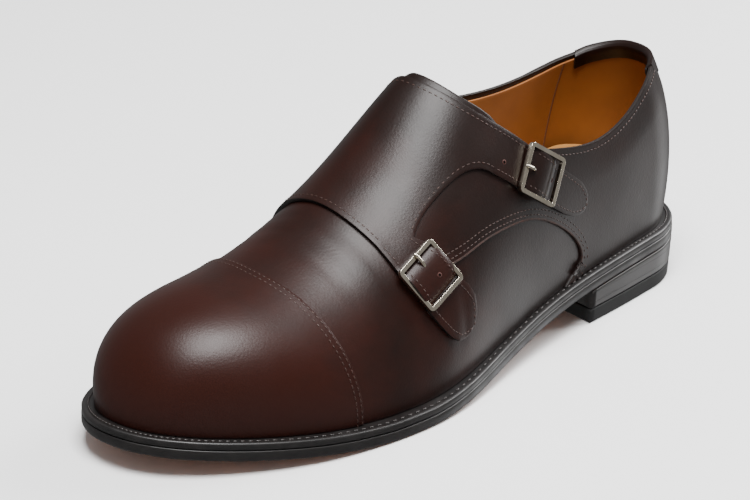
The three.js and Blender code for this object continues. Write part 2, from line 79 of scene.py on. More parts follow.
# ------------------------------------------------------------------ curves on the last
def spline(table, column):
    """Natural cubic through one column of a table, as a function of arrays."""
    x = np.array(list(table), float)
    y = np.array([row[column] for row in table.values()], float)
    n = len(x)
    h = np.diff(x)
    a = np.eye(n)
    b = np.zeros(n)
    for i in range(1, n - 1):
        a[i, i - 1:i + 2] = h[i - 1], 2 * (h[i - 1] + h[i]), h[i]
        b[i] = 6 * ((y[i + 1] - y[i]) / h[i] - (y[i] - y[i - 1]) / h[i - 1])
    m = np.linalg.solve(a, b)

    def at(t):
        t = np.asarray(t, float)
        i = np.clip(np.searchsorted(x, t, side="right") - 1, 0, n - 2)
        p = (x[i + 1] - t) / h[i]
        q = (t - x[i]) / h[i]
        return p * y[i] + q * y[i + 1] + ((p**3 - p) * m[i] + (q**3 - q) * m[i + 1]) * h[i]**2 / 6
    return at


sole_centre, sole_half, sole_top = (spline(SOLE, k) for k in range(3))
crown, ridge, swell_out, swell_in, full_top, full_side = (spline(LAST, k) for k in range(6))
welt_out = spline(WELT_OUT, 0)
topline_out, topline_in = (spline(TOPLINE, k) for k in range(2))
throat_out, throat_in = (spline(THROAT_OPEN, k) for k in range(2))


def running(*steps):
    """Length along a line whose steps have these parts, from nought."""
    return np.concatenate([[0], np.cumsum(np.hypot(*steps))])


def smooth(t):
    """Eased 0 to 1, level at both ends."""
    t = np.clip(t, 0, 1)
    return t * t * (3 - 2 * t)


def ease(s):
    """0 to 1 with closer steps at both ends."""
    return (1 - np.cos(np.pi * s)) / 2


def ends(x, x0, x1, heel, toe, heel_power, toe_power):
    """Share of the full width, rounded off over the heel's and the toe's lengths."""
    h = np.clip((x0 + heel - x) / heel, 0, 1)
    t = np.clip((x - x1 + toe) / toe, 0, 1)
    return (1 - h**heel_power)**(1 / heel_power) * (1 - t**toe_power)**(1 / toe_power)


def welt_top(x):
    """Height of the welt's upper face."""
    return np.maximum(sole_top(x), EDGE)


def sole_at(f, a, d):
    """Point of the sole: f along, a across from -1 to 1, d drawn in from the edge."""
    x = d + (LENGTH - 2 * d) * f
    w = (sole_half(x) - d) * ends(x, d, LENGTH - d, 33 - d, 71 - d, 2.1, 2.14)
    return x, sole_centre(x) + a * w


def feather_half(x, d):
    """Half width inside the feather line, where the upper meets the welt, drawn in by d."""
    w = sole_half(x) - welt_out(x) - d
    return w * ends(x, FEATHER[0] + d, FEATHER[1] - d, 30 - d / 2, 66 - d / 2, 2.1, 2.2)


def feather_at(f, a, d):
    """Point inside the feather line, as sole_at gives for the sole."""
    x = FEATHER[0] + d + (FEATHER[1] - FEATHER[0] - 2 * d) * f
    return x, sole_centre(x) + a * feather_half(x, d)


CREASES = (  # place on the ridge, slant, bow, middle and reach across (-1 to 1), depth, half width
    (204.5, -5.0, -9.0, 0.10, 0.62, 0.26, 3.4), (211.5, -4.0, -10.0, -0.06, 0.50, 0.20, 3.2),
    (218.5, -5.0, -8.0, 0.14, 0.36, 0.13, 3.0), (166.0, 8.0, 0.0, 0.72, 0.22, 0.16, 4.0))


def crease(u, th, side):
    """Depth of a new shoe's faint creases: soft troughs with a low ridge on both sides."""
    across = side * (1 - th / (np.pi / 2))
    deep = 0.0
    for u0, slant, bow, middle, reach, depth, wide in CREASES:
        x = (u - u0 - slant * across - bow * across**2) / wide
        fade = smooth((reach - np.abs(across - middle)) / (0.6 * reach))
        deep = deep + depth * fade * (1 - 1.2 * x * x) * np.exp(-x * x)
    return deep


def last(u, th, side, t=0.0):
    """Outer face of the upper: u along, th up from the feather line, side 1 outer, -1 inner,
    t how far the face is drawn in."""
    t = t + crease(u, th, side)
    f = (u - FEATHER[0]) / (FEATHER[1] - FEATHER[0])
    x = FEATHER[0] + t + (FEATHER[1] - FEATHER[0] - 2 * t) * f
    w = feather_half(x, t)
    near = w / sole_half(x)
    mid = sole_centre(x)
    top = mid + (ridge(u) - mid) * np.clip(near * 2, 0, 1)
    toe = np.clip((u - FEATHER[1] + 52) / 52, 0, 1)
    h = (crown(u) - t) * np.sqrt(1 - toe**2.3)
    c = np.maximum(np.cos(th), 0)**(2 / full_top(u))
    s = np.maximum(np.sin(th), 0)**(2 / full_side(u))
    swell = np.where(side > 0, swell_out(u), swell_in(u))
    bulge = side * swell * near * 1.2 * np.sin(2 * th) * np.cos(th)
    rise = h * s
    heel = -15 * (rise / 52.8) * (1 - rise / 52.8)
    fade = np.clip(1 - (u - FEATHER[0]) / 85, 0, 1)**2
    return np.stack([x + heel * fade, top + (mid + side * w - top) * c + bulge,
                     welt_top(x) + JOINT + rise], -1)


class Girth:
    """Distances round the last's sections, from the ridge down each side."""

    def __init__(self, side):
        self.u = np.linspace(FEATHER[0] + 0.05, FEATHER[1] - 0.05, 587)
        th = np.linspace(np.pi / 2, 0, 241)
        uu, tt = np.meshgrid(self.u, th, indexing="ij")
        p = last(uu, tt, side)
        v = np.concatenate([np.zeros((len(self.u), 1)),
                            np.cumsum(np.linalg.norm(np.diff(p[..., 1:], axis=1), axis=2), 1)], 1)
        self.total = v[:, -1]
        k = np.linspace(0, 1, 241)
        self.th = np.array([np.interp(k * g, row, th) for g, row in zip(self.total, v)])

    def length(self, u):
        return np.interp(u, self.u, self.total)

    def angle(self, u, v):
        i = np.clip((u - self.u[0]) / (self.u[1] - self.u[0]), 0, len(self.u) - 1.001)
        k = np.clip(v / self.length(u), 0, 1) * 239.999
        i0, k0 = i.astype(int), k.astype(int)
        fi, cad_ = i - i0, k - k0
        t = self.th
        return ((1 - fi) * ((1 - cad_) * t[i0, k0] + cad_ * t[i0, k0 + 1])
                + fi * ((1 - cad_) * t[i0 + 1, k0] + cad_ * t[i0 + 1, k0 + 1]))


GIRTH = {1: Girth(1), -1: Girth(-1)}


def on_last(u, v):
    """Point at u along and v round the section from the ridge, outer side positive."""
    u, v = np.broadcast_arrays(np.asarray(u, float), np.asarray(v, float))
    th = np.where(v < 0, GIRTH[-1].angle(u, np.abs(v)), GIRTH[1].angle(u, np.abs(v)))
    return last(u, th, np.where(v < 0, -1.0, 1.0))


def surface(u, v, lift=0.0):
    """Point lifted off the last along its own normal, and that normal."""
    u, v = np.broadcast_arrays(np.asarray(u, float), np.asarray(v, float))
    du = on_last(u + 1.2, v) - on_last(u - 1.2, v)
    dv = on_last(u, v + 1.2) - on_last(u, v - 1.2)
    n = np.cross(du, dv)
    n /= np.linalg.norm(n, axis=-1, keepdims=True)
    return on_last(u, v) + n * np.asarray(lift, float)[..., None], n


def open_angle(u, side):
    """Angle of the topline on one side; the section closes ahead of the throat."""
    topline, throat = (topline_out, throat_out) if side > 0 else (topline_in, throat_in)
    low = np.arcsin(np.clip(topline(np.minimum(u, 134)) / crown(u), 0, 1)**(full_side(u) / 2))
    rounding = np.sqrt(np.clip(1 - (np.maximum(u - 150, 0) / (THROAT - 150))**2, 0, 1))
    wide = GIRTH[side].angle(u, throat(u) * rounding)
    return np.where(u >= THROAT, np.pi / 2, low + (wide - low) * smooth((u - 128) / 8))


class Path:
    """Smooth line through points given as (u, v), by length from 0 to 1."""

    def __init__(self, points, corners=()):
        cuts = [0, *corners, len(points) - 1]
        dense = []
        for a, b in zip(cuts, cuts[1:]):
            p = np.array(points[a:b + 1], float)
            d = np.concatenate([[0], np.cumsum(np.linalg.norm(np.diff(p, axis=0), axis=1)**0.7)])
            t = np.linspace(0, d[-1], 40 * len(p))
            if len(p) > 2:
                cols = [spline(dict(zip(d, p[:, [k]])), 0)(t) for k in (0, 1)]
            else:
                cols = [np.interp(t, d, p[:, k]) for k in (0, 1)]
            dense.append(np.stack(cols, -1) if not dense else np.stack(cols, -1)[1:])
        self.p = np.concatenate(dense)
        self.d = running(*np.diff(self.p, axis=0).T)

    @property
    def length(self):
        return self.d[-1]

    def __call__(self, t):
        t = np.asarray(t, float) * self.length
        return np.stack([np.interp(t, self.d, self.p[:, k]) for k in (0, 1)], -1)

    def aside(self, t, off):
        """Point off to the right of the way along, in (u, v)."""
        e = 0.6 / self.length
        way = self(np.clip(t + e, 0, 1)) - self(np.clip(t - e, 0, 1))
        way /= np.linalg.norm(way, axis=-1, keepdims=True)
        side = np.stack([way[..., 1], -way[..., 0]], -1)
        return self(t) + side * np.asarray(off, float)[..., None]


# ------------------------------------------------------------------ finishes
CALF, LINING, THREAD = "#160906", "#78420f", "#26130c"
HEEL_LIFT = 4.6                # thickness of one leather lift


def tint(hex_code):
    """sRGB hex as a linear colour."""
    c = [int(hex_code[i:i + 2], 16) / 255 for i in (1, 3, 5)]
    return [*(v / 12.92 if v <= 0.04045 else ((v + 0.055) / 1.055)**2.4 for v in c), 1.0]


def toned(stops, name, usual):
    """Stops of a ramp, moved as far as the user's colour of that name is from the usual one."""
    picked = getattr(bpy.context.scene.shoe_colours, name)
    return [(at, [*(a * p / u for a, p, u in zip(tint(colour), picked, tint(usual))), 1.0])
            for at, colour in stops]


def node(tree, kind, links=None, stops=(), **settings):
    """Adds one node with its settings and its ramp's stops, and links its sockets."""
    n = tree.nodes.new(kind)
    for name, value in settings.items():
        if name.startswith("in_"):
            key = name[3:]
            n.inputs[int(key) if key.isdigit() else key.replace("_", " ")].default_value = value
        else:
            setattr(n, name, value)
    for name, source in (links or {}).items():
        tree.links.new(source, n.inputs[name])
    if stops:
        while len(n.color_ramp.elements) < len(stops):
            n.color_ramp.elements.new(0.5)
        for e, (at, colour) in zip(n.color_ramp.elements, stops):
            e.position = at
            grey = (colour, colour, colour, 1) if isinstance(colour, float) else colour
            e.color = tint(colour) if isinstance(colour, str) else grey
    return n


def finish(name, cloud, colours, rough, grain=None, **sockets):
    """A finish with its colours in clouds.  A cloud is its size in mm, then its detail and
    roughness; rough is a number, or a cloud and its values; grain is a cloud and the bump's
    depth in mm and strength."""
    m = bpy.data.materials.new(name)
    m.use_nodes = True
    t = m.node_tree
    t.nodes.clear()
    out = node(t, "ShaderNodeOutputMaterial")
    b = node(t, "ShaderNodeBsdfPrincipled")
    t.links.new(b.outputs[0], out.inputs[0])
    where = node(t, "ShaderNodeTexCoord").outputs["Object"]
    layers = [("Base Color", cloud, colours)] if cloud else []
    if isinstance(rough, tuple):
        layers.append(("Roughness", *rough))
    else:
        b.inputs["Roughness"].default_value = rough
    if grain:
        layers.append(("Normal", *grain))
    for socket, pattern, *values in layers:
        size, detail, share = (*pattern, *(3.0, 0.55)[len(pattern) - 1:])
        fac = node(t, "ShaderNodeTexNoise", {"Vector": where}, in_Scale=1000 / size,
                   in_Detail=detail, in_Roughness=share).outputs["Fac"]
        if socket == "Normal":
            last_node = node(t, "ShaderNodeBump", {"Height": fac}, in_Distance=values[0] / 1000,
                             in_Strength=values[1])
        else:
            last_node = node(t, "ShaderNodeValToRGB", {0: fac}, values[0])
        t.links.new(last_node.outputs[0], b.inputs[socket])
    for socket, value in sockets.items():
        b.inputs[socket.replace("_", " ")].default_value = value
    return m, t, b, where


def burnished_calf():
    """Smooth calf, aniline dyed and burnished with wax: a soft satin gloss over fine pores,
    redder where the polish has been worked up at the toe."""
    m, t, b, where = finish("burnished brown calf", None, None, ((22, 4), [(0.3, 0.33), (0.7, 0.4)]),
                            ((1.6, 5, 0.65), 0.06, 0.6), IOR=1.45, Specular_IOR_Level=0.28)
    wrinkles = b.inputs["Normal"].links[0].from_socket
    x = node(t, "ShaderNodeSeparateXYZ", {0: where}).outputs["X"]
    along = node(t, "ShaderNodeMapRange", {"Value": x}, in_1=-0.02, in_2=0.15).outputs[0]
    cloud = node(t, "ShaderNodeTexNoise", {"Vector": where}, in_Scale=1000 / 38, in_Detail=4,
                 in_Roughness=0.6).outputs["Fac"]
    redder = node(t, "ShaderNodeMath", {0: along, 2: cloud}, operation="MULTIPLY_ADD",
                  in_1=0.75).outputs[0]
    colour = node(t, "ShaderNodeValToRGB", {0: redder},
                  toned([(0.3, "#100705"), (0.62, "#160906"), (1.0, "#260c06")], "calf", CALF))
    t.links.new(colour.outputs[0], b.inputs["Base Color"])
    pores = node(t, "ShaderNodeTexVoronoi", {"Vector": where}, in_Scale=1000 / 0.9).outputs["Distance"]
    grain = node(t, "ShaderNodeBump", {"Height": pores, "Normal": wrinkles},
                 in_Distance=0.03 / 1000, in_Strength=0.6)
    t.links.new(grain.outputs[0], b.inputs["Normal"])
    return m


def inked_edge():
    """Cut edge of the leather, inked black and rubbed smooth."""
    return finish("inked leather edge", (3,), [(0.35, "#0e0807"), (0.7, "#1b100c")], 0.5,
                  ((0.8,), 0.05, 0.5))[0]


def raw_edge():
    """Split edge left in the brown of the dyed hide: matt."""
    return finish("raw leather edge", (2,), [(0.35, "#1f0d06"), (0.7, "#35170a")], 0.7)[0]


def cut_calf():
    """Bare rim of a punched hole, where the dye stops: reddish tan and matt."""
    return finish("cut calf rim", (0.5,), [(0.3, "#32120a"), (0.7, "#47190e")], 0.75)[0]


def hole_painted_shade():
    """Painted shade inside a punched hole: a near black, quite matt disc on the strap stands in for the
    hole's shaded inside.
    """
    return finish("painted hole shade", (0.4,), [(0.3, "#050302"), (0.7, "#0d0705")], 0.95,
                  Specular_IOR_Level=0.05)[0]


def lining_leather():
    """Vegetable tanned calf lining, undyed: matt tan with faint clouds and fine wrinkles."""
    clouds = toned([(0.3, "#78420f"), (0.7, "#8b5118")], "lining", LINING)
    return finish("tan lining leather", (30, 5), clouds, 0.62, ((1.4, 5, 0.7), 0.05, 0.6))[0]


def lining_seam_edge():
    """Lapped edge of the lining: a strip darker than the lining."""
    return finish("darkened lining edge", (1.2,), [(0.3, "#4a2509"), (0.7, "#5e310d")], 0.8)[0]


def sock_leather():
    """Thin sheepskin sock over the insole, paler than the lining."""
    return finish("pale sock leather", (26, 5), [(0.3, "#a97437"), (0.7, "#b9864a")], 0.6,
                  ((1.2, 5, 0.7), 0.04, 0.5))[0]


def waxed_sole_edge():
    """Trimmed sole and welt edge, inked black and ironed with wax: low gloss over fine fibre."""
    return finish("black waxed sole edge", (5, 4), [(0.3, "#0d0b0b"), (0.75, "#1a1615")],
                  ((9,), [(0.3, 0.34), (0.7, 0.5)]), ((0.7, 4), 0.02, 0.35))[0]


def heel_lifts():
    """Stacked leather lifts, inked black and waxed so the joints just show."""
    m, t, b, where = finish("stacked heel leather", (6, 4), [(0.3, "#0f0c0b"), (0.75, "#1d1715")], 0.38)
    z = node(t, "ShaderNodeSeparateXYZ", {0: where}).outputs["Z"]
    step = node(t, "ShaderNodeMath", {0: z}, operation="MULTIPLY", in_1=1000 / HEEL_LIFT).outputs[0]
    part = node(t, "ShaderNodeMath", {0: step}, operation="FRACT").outputs[0]
    joint = node(t, "ShaderNodeValToRGB", {0: part},
                 [(0.0, 0.0), (0.06, 1.0), (0.94, 1.0), (1.0, 0.0)]).outputs[0]
    joints = node(t, "ShaderNodeBump", {"Height": joint}, in_Distance=0.12 / 1000,
                  in_Strength=0.5).outputs[0]
    flat = node(t, "ShaderNodeMapping", {"Vector": where}, in_Scale=(0.06, 0.06, 1.0)).outputs[0]
    fibre = node(t, "ShaderNodeTexNoise", {"Vector": flat}, in_Scale=1000 / 0.8, in_Detail=3,
                 in_Roughness=0.55).outputs["Fac"]
    edge = node(t, "ShaderNodeBump", {"Height": fibre, "Normal": joints}, in_Distance=0.05 / 1000,
                in_Strength=0.5)
    t.links.new(edge.outputs[0], b.inputs["Normal"])
    return m


def heel_rubber():
    """Moulded rubber top piece: matt black."""
    return finish("black heel rubber", (3,), [(0.3, "#0a0a0a"), (0.7, "#131212")], 0.72,
                  ((0.5,), 0.03, 0.5))[0]


def sole_leather():
    """Oak bark tanned sole bend, stained and rolled smooth: orange brown with fine fibre."""
    return finish("orange brown sole leather", (14, 6), [(0.3, "#5e3214"), (0.7, "#7a4520")], 0.55,
                  ((1.0, 5, 0.7), 0.05, 0.5))[0]


def brown_thread():
    """Waxed polyester thread, twisted: slight sheen."""
    twist = toned([(0.3, "#26130c"), (0.7, "#3a2016")], "thread", THREAD)
    return finish("brown waxed thread", (2,), twist, 0.5)[0]


def black_thread():
    """Heavy waxed linen thread of the welt, inked with the sole edge."""
    return finish("black welt thread", (2,), [(0.3, "#191413"), (0.7, "#2b2422")], 0.42)[0]


def polished_nickel():
    """Cast buckle, polished and nickel plated: bright with a faintly warm tone."""
    return finish("polished nickel", (4,), [(0.3, "#c4baa8"), (0.7, "#d8cfbf")],
                  ((7,), [(0.3, 0.1), (0.7, 0.16)]), Metallic=1.0)[0]


def studio_paper():
    """White background paper, matt."""
    return finish("white studio paper", (400,), [(0.2, "#f6f6f6"), (0.8, "#fafafa")], 0.9,
                  Specular_IOR_Level=0.1)[0]


MADE = {}


def finish_of(maker):
    """The finish of that maker, made once."""
    if maker.__name__ not in MADE:
        MADE[maker.__name__] = maker()
    return MADE[maker.__name__]


# ------------------------------------------------------------------ making meshes
def to_frame(p):
    """Millimetres on the shoe's lengths to the frame's metres."""
    return (p - MIDDLE) / 1000


def piece_from(bm, name, makers, node_name=None):
    """Turns a bmesh into a finished piece riding on the shoe."""
    mesh = bpy.data.meshes.new(name)
    bm.to_mesh(mesh)
    bm.free()
    for maker in makers:
        mesh.materials.append(finish_of(maker))
    mesh.polygons.foreach_set("use_smooth", [True] * len(mesh.polygons))
    o = bpy.data.objects.new(name, mesh)
    bpy.context.scene.collection.objects.link(o)
    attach(o, "root")
    if node_name:
        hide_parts(node_name)
    return o


def face_out(bm):
    """Turns a sheet lying round the shoe so that its faces look away from the foot."""
    bm.normal_update()
    total = 0.0
    for f in bm.faces:
        c = f.calc_center_median()
        away = Vector((max(c.x - 0.11, 0) + min(c.x + 0.12, 0), c.y, c.z - 0.03))
        total += f.normal.dot(away) * f.calc_area()
    if total < 0:
        bmesh.ops.reverse_faces(bm, faces=bm.faces)
    return bm


def sheet(nu, nv, place):
    """A grid of nu by nv faces mapped by place(s, t), doubles merged."""
    bm = bmesh.new()
    bmesh.ops.create_grid(bm, x_segments=nu, y_segments=nv, size=0.5)
    st = np.array([v.co[:2] for v in bm.verts]) + 0.5
    for v, p in zip(bm.verts, to_frame(place(st[:, 0], st[:, 1]))):
        v.co = p
    bmesh.ops.remove_doubles(bm, verts=bm.verts, dist=2e-6)
    return bm


def join(*parts):
    """Joins bmeshes along their shared edges."""
    whole = parts[0]
    for part in parts[1:]:
        mesh = bpy.data.meshes.new("part")
        part.to_mesh(mesh)
        part.free()
        whole.from_mesh(mesh)
        bpy.data.meshes.remove(mesh)
    bmesh.ops.remove_doubles(whole, verts=whole.verts, dist=2e-5)
    return whole


def thicken(o, thick_mm, round_mm=0.0, rim=0, inside=0):
    """Thickness inward, with rubbed edges; rim and inside number the finishes there."""
    m = o.modifiers.new("leather thickness", "SOLIDIFY")
    m.thickness = thick_mm / 1000
    m.offset = -1.0
    m.material_offset_rim = rim
    m.material_offset = inside
    if round_mm:
        b = o.modifiers.new("rubbed edge", "BEVEL")
        b.width = round_mm / 1000
        b.segments = 2
        b.limit_method = "ANGLE"
        b.angle_limit = math.radians(50)


def stitches(name, rows, maker, pitch=2.5, long=1.7, thick=0.5):
    """Rows of stitches lying on the surface: each row is (path, offset, lift)."""
    bm = bmesh.new()
    for path, off, lift in rows:
        path, t0, t1 = path if isinstance(path, tuple) else (path, 0.0, 1.0)
        n = max(int(path.length * (t1 - t0) / pitch), 2)
        s = t0 + (t1 - t0) * (np.arange(n) + 0.5) / n
        mid, a, b = (path.aside(s + k * pitch / path.length, np.full(n, off)) for k in (0, -0.4, 0.4))
        level = lift(mid) if callable(lift) else np.full(n, lift)
        (p, normal), (pa, _), (pb, _) = (surface(q[:, 0], q[:, 1], level) for q in (mid, a, b))
        lay(bm, p, pb - pa, normal, long, thick)
    return piece_from(bm, name, [maker])


def lay(bm, points, ways, normals, long, thick, high=0.77, around=6):
    """Small rounded lozenges at points, long across ways; high is their height to thickness."""
    for p, w, n in zip(to_frame(points), ways, normals):
        x = Vector(w).normalized()
        z = Vector(n)
        y = z.cross(x).normalized()
        z = x.cross(y)
        m = Matrix((x * long / 2000, y * thick / 2000, z * thick * high / 2000)).transposed().to_4x4()
        m.translation = p
        bmesh.ops.create_uvsphere(bm, u_segments=around, v_segments=5, radius=1, matrix=m)


# ------------------------------------------------------------------ lines of the pattern
CAP_SEAM = Path([(218.8, -84), (219.8, -72), (221.8, -58), (224.3, -44), (227.3, -31), (230.8, -17),
                 (233.6, -3), (234.3, 8), (233.6, 18), (232.1, 31), (230.1, 46), (227.9, 61),
                 (226.5, 72), (225.5, 88)])
QUARTER_POINTS = [(176, 60.5), (165, 66), (153, 71), (139, 77), (125, 82), (113, 87), (103, 92.5),
                  (94, 98.5), (87.5, 105), (85.5, 110.5), (87.5, 114.5), (92, 118.5), (95.5, 122)]
QUARTER_SEAM = Path(QUARTER_POINTS)


class Sizes(bpy.types.PropertyGroup):
    """Sizes of the leather work."""
    upper_thickness: bpy.props.FloatProperty(
        name="Upper leather", description="Thickness of the upper leather", default=0.0013,
        unit="LENGTH")
    cap_lift: bpy.props.FloatProperty(
        name="Toe cap lift", description="How far the toe cap stands over the vamp",
        default=0.0009, unit="LENGTH")
    strap_thickness: bpy.props.FloatProperty(
        name="Strap leather", description="Thickness of the strap panel", default=0.0016,
        unit="LENGTH")
    stitch_pitch: bpy.props.FloatProperty(
        name="Stitch pitch", description="Distance from stitch to stitch", default=0.0024,
        unit="LENGTH")


class Colours(bpy.types.PropertyGroup):
    """Colours of the leather and thread."""
    calf: bpy.props.FloatVectorProperty(
        name="Calf", description="Colour of the upper leather", default=tint(CALF)[:3],
        subtype="COLOR", min=0, max=1)
    lining: bpy.props.FloatVectorProperty(
        name="Lining", description="Colour of the lining leather", default=tint(LINING)[:3],
        subtype="COLOR", min=0, max=1)
    thread: bpy.props.FloatVectorProperty(
        name="Thread", description="Colour of the upper's thread", default=tint(THREAD)[:3],
        subtype="COLOR", min=0, max=1)


class Stage(bpy.types.PropertyGroup):
    """Light and camera of the studio."""
    lens: bpy.props.FloatProperty(
        name="Lens", description="Focal length of the camera in millimetres", default=161.9)
    key: bpy.props.FloatProperty(
        name="Key light", description="Power of the overhead light in watts", default=54.0)
    side: bpy.props.FloatProperty(
        name="Side light", description="Power of the light behind the heel in watts", default=26.0)
    room: bpy.props.FloatProperty(
        name="Room", description="Strength of the light all round", default=0.33)
    reflector: bpy.props.FloatProperty(
        name="Reflector", description="Strength of the low reflector", default=2.6)


class SHOE_OT_sole(bpy.types.Operator):
    """Outsole, welt with its stitching, heel and top piece"""
    bl_idname = "shoe.sole"
    bl_label = "Sole and heel"

    def execute(self, context):
        def outsole(s, t):
            # round the section: out from the middle, over the rounded edge, and back below
            turn = np.array([[0, 9, WELT + JOINT], [1, 9, WELT + JOINT], [1, 0.2, WELT + JOINT],
                             [1, 0, WELT + 0.7], [1, 0, 6.4], [1, 0.5, 7.3], [1, 1.6, EDGE], [1, 9, EDGE],
                             [0, 9, EDGE]])
            return profile(s, t, turn)
        bm = sheet(360, 16, outsole)
        bmesh.ops.remove_doubles(bm, verts=bm.verts, dist=2e-5)
        bmesh.ops.recalc_face_normals(bm, faces=bm.faces)
        o = piece_from(bm, "outsole_leather", [waxed_sole_edge, sole_leather], "outsole")
        for p in o.data.polygons:
            if p.normal.z < -0.85 and abs(p.center.z) < 1:
                p.material_index = 1

        def welt(s, t):
            turn = np.array([[1, 10.4, 0.0], [1, 4.2, 0.0], [1, 2.6, 0.12], [1, 1.2, 0.0], [1, 0.45, 0.25],
                             [1, 0.15, 0.8], [1, 0.15, 2.5], [1, 0.5, WELT], [1, 10.4, WELT], [1, 10.4, 0.0]])
            return profile(s, t, turn)
        bm = sheet(360, 18, welt)
        bmesh.ops.recalc_face_normals(bm, faces=bm.faces)
        piece_from(bm, "welt_leather", [waxed_sole_edge], "welt")

        n = WELT_STITCHES
        s = (np.arange(n) + 0.5) / n
        f, side = sole_walk(s)
        x, y = sole_at(f, side, 2.6)
        p = np.stack([x, y, welt_top(x) + 0.05], -1)
        way = np.roll(p, -1, 0) - np.roll(p, 1, 0)
        bm = bmesh.new()
        lay(bm, p, way, np.tile([0.0, 0.0, 1.0], (n, 1)), 2.3, 0.85)
        piece_from(bm, "welt_stitching", [black_thread])

        for name, maker, low, high in (("heel_stack", heel_lifts, TOP_PIECE + JOINT, None),
                                       ("top_piece", heel_rubber, 0.0, TOP_PIECE)):
            bm = heel_block(low, high)
            piece_from(bm, name + "_worked", [maker], name)
        return {"FINISHED"}


def sole_walk(s):
    """Once round the sole from the back: place along, and side."""
    s = np.asarray(s, float) % 1.0
    half = np.where(s < 0.5, s * 2, (1 - s) * 2)
    return ease(half), np.where(s < 0.5, 1.0, -1.0)


def profile(s, t, turn):
    """Runs a section (share of the half width, inset, drop) round the sole's outline."""
    f, side = sole_walk(s)
    step = np.linspace(0, 1, len(turn))
    share, inset, drop = (np.interp(t, step, turn[:, k]) for k in range(3))
    x, y = sole_at(f, side * share, inset)
    return np.stack([x, y, welt_top(x) - drop], -1)


def heel_block(low, high):
    """One level of the heel: outline drawn in on the way down, breast hollowed."""
    n, m = 40, 12
    s = 1 - np.cos(np.pi / 2 * np.linspace(0, 1, n + 1))
    # once round: up the outer side, across the breast, back down the inner side
    ring = np.array([(v, 1.0) for v in s] + [(1.0, a) for a in np.linspace(1, -1, m + 1)[1:-1]]
                    + [(v, -1.0) for v in s[::-1]][:-1])

    def breast(edge):
        return edge - BREAST_HOLLOW * (1 - ring[:, 1]**2) * smooth((ring[:, 0] - 0.4) / 0.6)

    def at(share, inset):
        x = breast(ring[:, 0] * HEEL_LENGTH)
        top = welt_top(x) - EDGE - JOINT if high is None else np.full_like(x, high)
        z = low + (top - low) * share
        d = HEEL_TAPER * (1 - z / 17) + inset
        edge = d + (HEEL_LENGTH - inset - d) * ring[:, 0]
        w = (sole_half(edge) - d) * ends(edge, d, LENGTH - d, 33 - d, 71, 2.1, 2.14)
        return np.stack([breast(edge), sole_centre(edge) + ring[:, 1] * w, z], -1)
    rows = [at(0.0, 2.0), at(0.0, 0.5), at(0.04, 0.12), *(at(q, 0.0) for q in np.linspace(0.1, 0.9, 10)),
            at(0.97, 0.1), at(1.0, 0.4), at(1.0, 2.0)]
    bm = bmesh.new()
    loops = []
    for row in rows:
        vs = [bm.verts.new(p) for p in to_frame(row)]
        loops.append([bm.edges.new((a, b)) for a, b in zip(vs, vs[1:] + vs[:1])])
    for a, b in zip(loops, loops[1:]):
        bmesh.ops.bridge_loops(bm, edges=a + b)
    for loop in (loops[0], loops[-1]):
        bmesh.ops.triangle_fill(bm, edges=loop, use_beauty=True)
    bmesh.ops.recalc_face_normals(bm, faces=bm.faces)
    return bm


class SHOE_OT_inside(bpy.types.Operator):
    """Insole, sock and lining"""
    bl_idname = "shoe.inside"
    bl_label = "Inside"

    def execute(self, context):
        def insole(s, t):
            x, y = feather_at(ease(s), t * 2 - 1, WALL + 0.5)
            dish = 0.8 * (1 - (t * 2 - 1)**2)
            return np.stack([x, y, welt_top(x) + 3.3 - dish], -1)
        o = piece_from(sheet(120, 30, insole), "insole_board", [lining_leather], "insole")
        thicken(o, 3.0)

        def sock(s, t):
            a = (t * 2 - 1) * 0.97
            f = ease(s * 0.42) / ease(0.42) * 0.42
            end = 6 * a * a
            x, y = feather_at(f, a, WALL + 1.2)
            x = x - end * smooth((f - 0.3) / 0.12)
            rim = np.maximum(np.abs(a), 1 - (x - FEATHER[0]) / 32)
            tall = 16 - 4.5 * np.minimum(a, 0) * smooth((x - FEATHER[0]) / 28)
            cup = tall * smooth((rim - 0.72) / 0.28) * (1 - smooth((x - 45) / 35))
            return np.stack([x, y, welt_top(x) + 4.2 - 0.8 * (1 - a**2) + cup], -1)
        o = piece_from(sheet(80, 40, sock), "heel_sock", [sock_leather])
        thicken(o, 0.8, 0.25)

        bm = wall_sheet(1.35, len(U_STATIONS) - 1, 40, 1.2)
        o = piece_from(bm, "lining", [lining_leather])
        thicken(o, 0.8, 0.2)

        def seam(s, t):
            # edge of the front lining, lapped over the heel lining
            u = 26 + 14 * s + (t - 0.5) * 0.9
            th = open_angle(u, -1) * (0.975 - 0.9 * s)
            return last(u, th, -1, 2.12 + 0.3 * np.sin(np.pi * t)**0.4 * (1 - 0.5 * t))
        piece_from(sheet(60, 6, seam), "lining_seam", [lining_seam_edge])
        return {"FINISHED"}


def wall_sheet(t_in, nu, nv, below):
    """The upper's wall as a sheet drawn in by t_in, its rim below the topline."""
    def half(side):
        def place(s, t):
            u = stations(s)
            a = open_angle(u, side)
            g = np.where(u < THROAT, below / 60.0, 0.0)
            th = (a - g) * (1 - t)
            return last(u, th, side, t_in)
        return place
    return join(face_out(sheet(nu, nv, half(1))), face_out(sheet(nu, nv, half(-1))))


U_STATIONS = np.unique(np.concatenate([
    FEATHER[0] + (FEATHER[1] - FEATHER[0]) * ease(np.linspace(0, 1, 170)),
    np.linspace(126, 160, 24), THROAT - (THROAT - 160) * np.linspace(0, 1, 14)**2.2]))


def stations(s):
    """Places along the upper, closer at the ends and round the throat."""
    return np.interp(s, np.linspace(0, 1, len(U_STATIONS)), U_STATIONS)


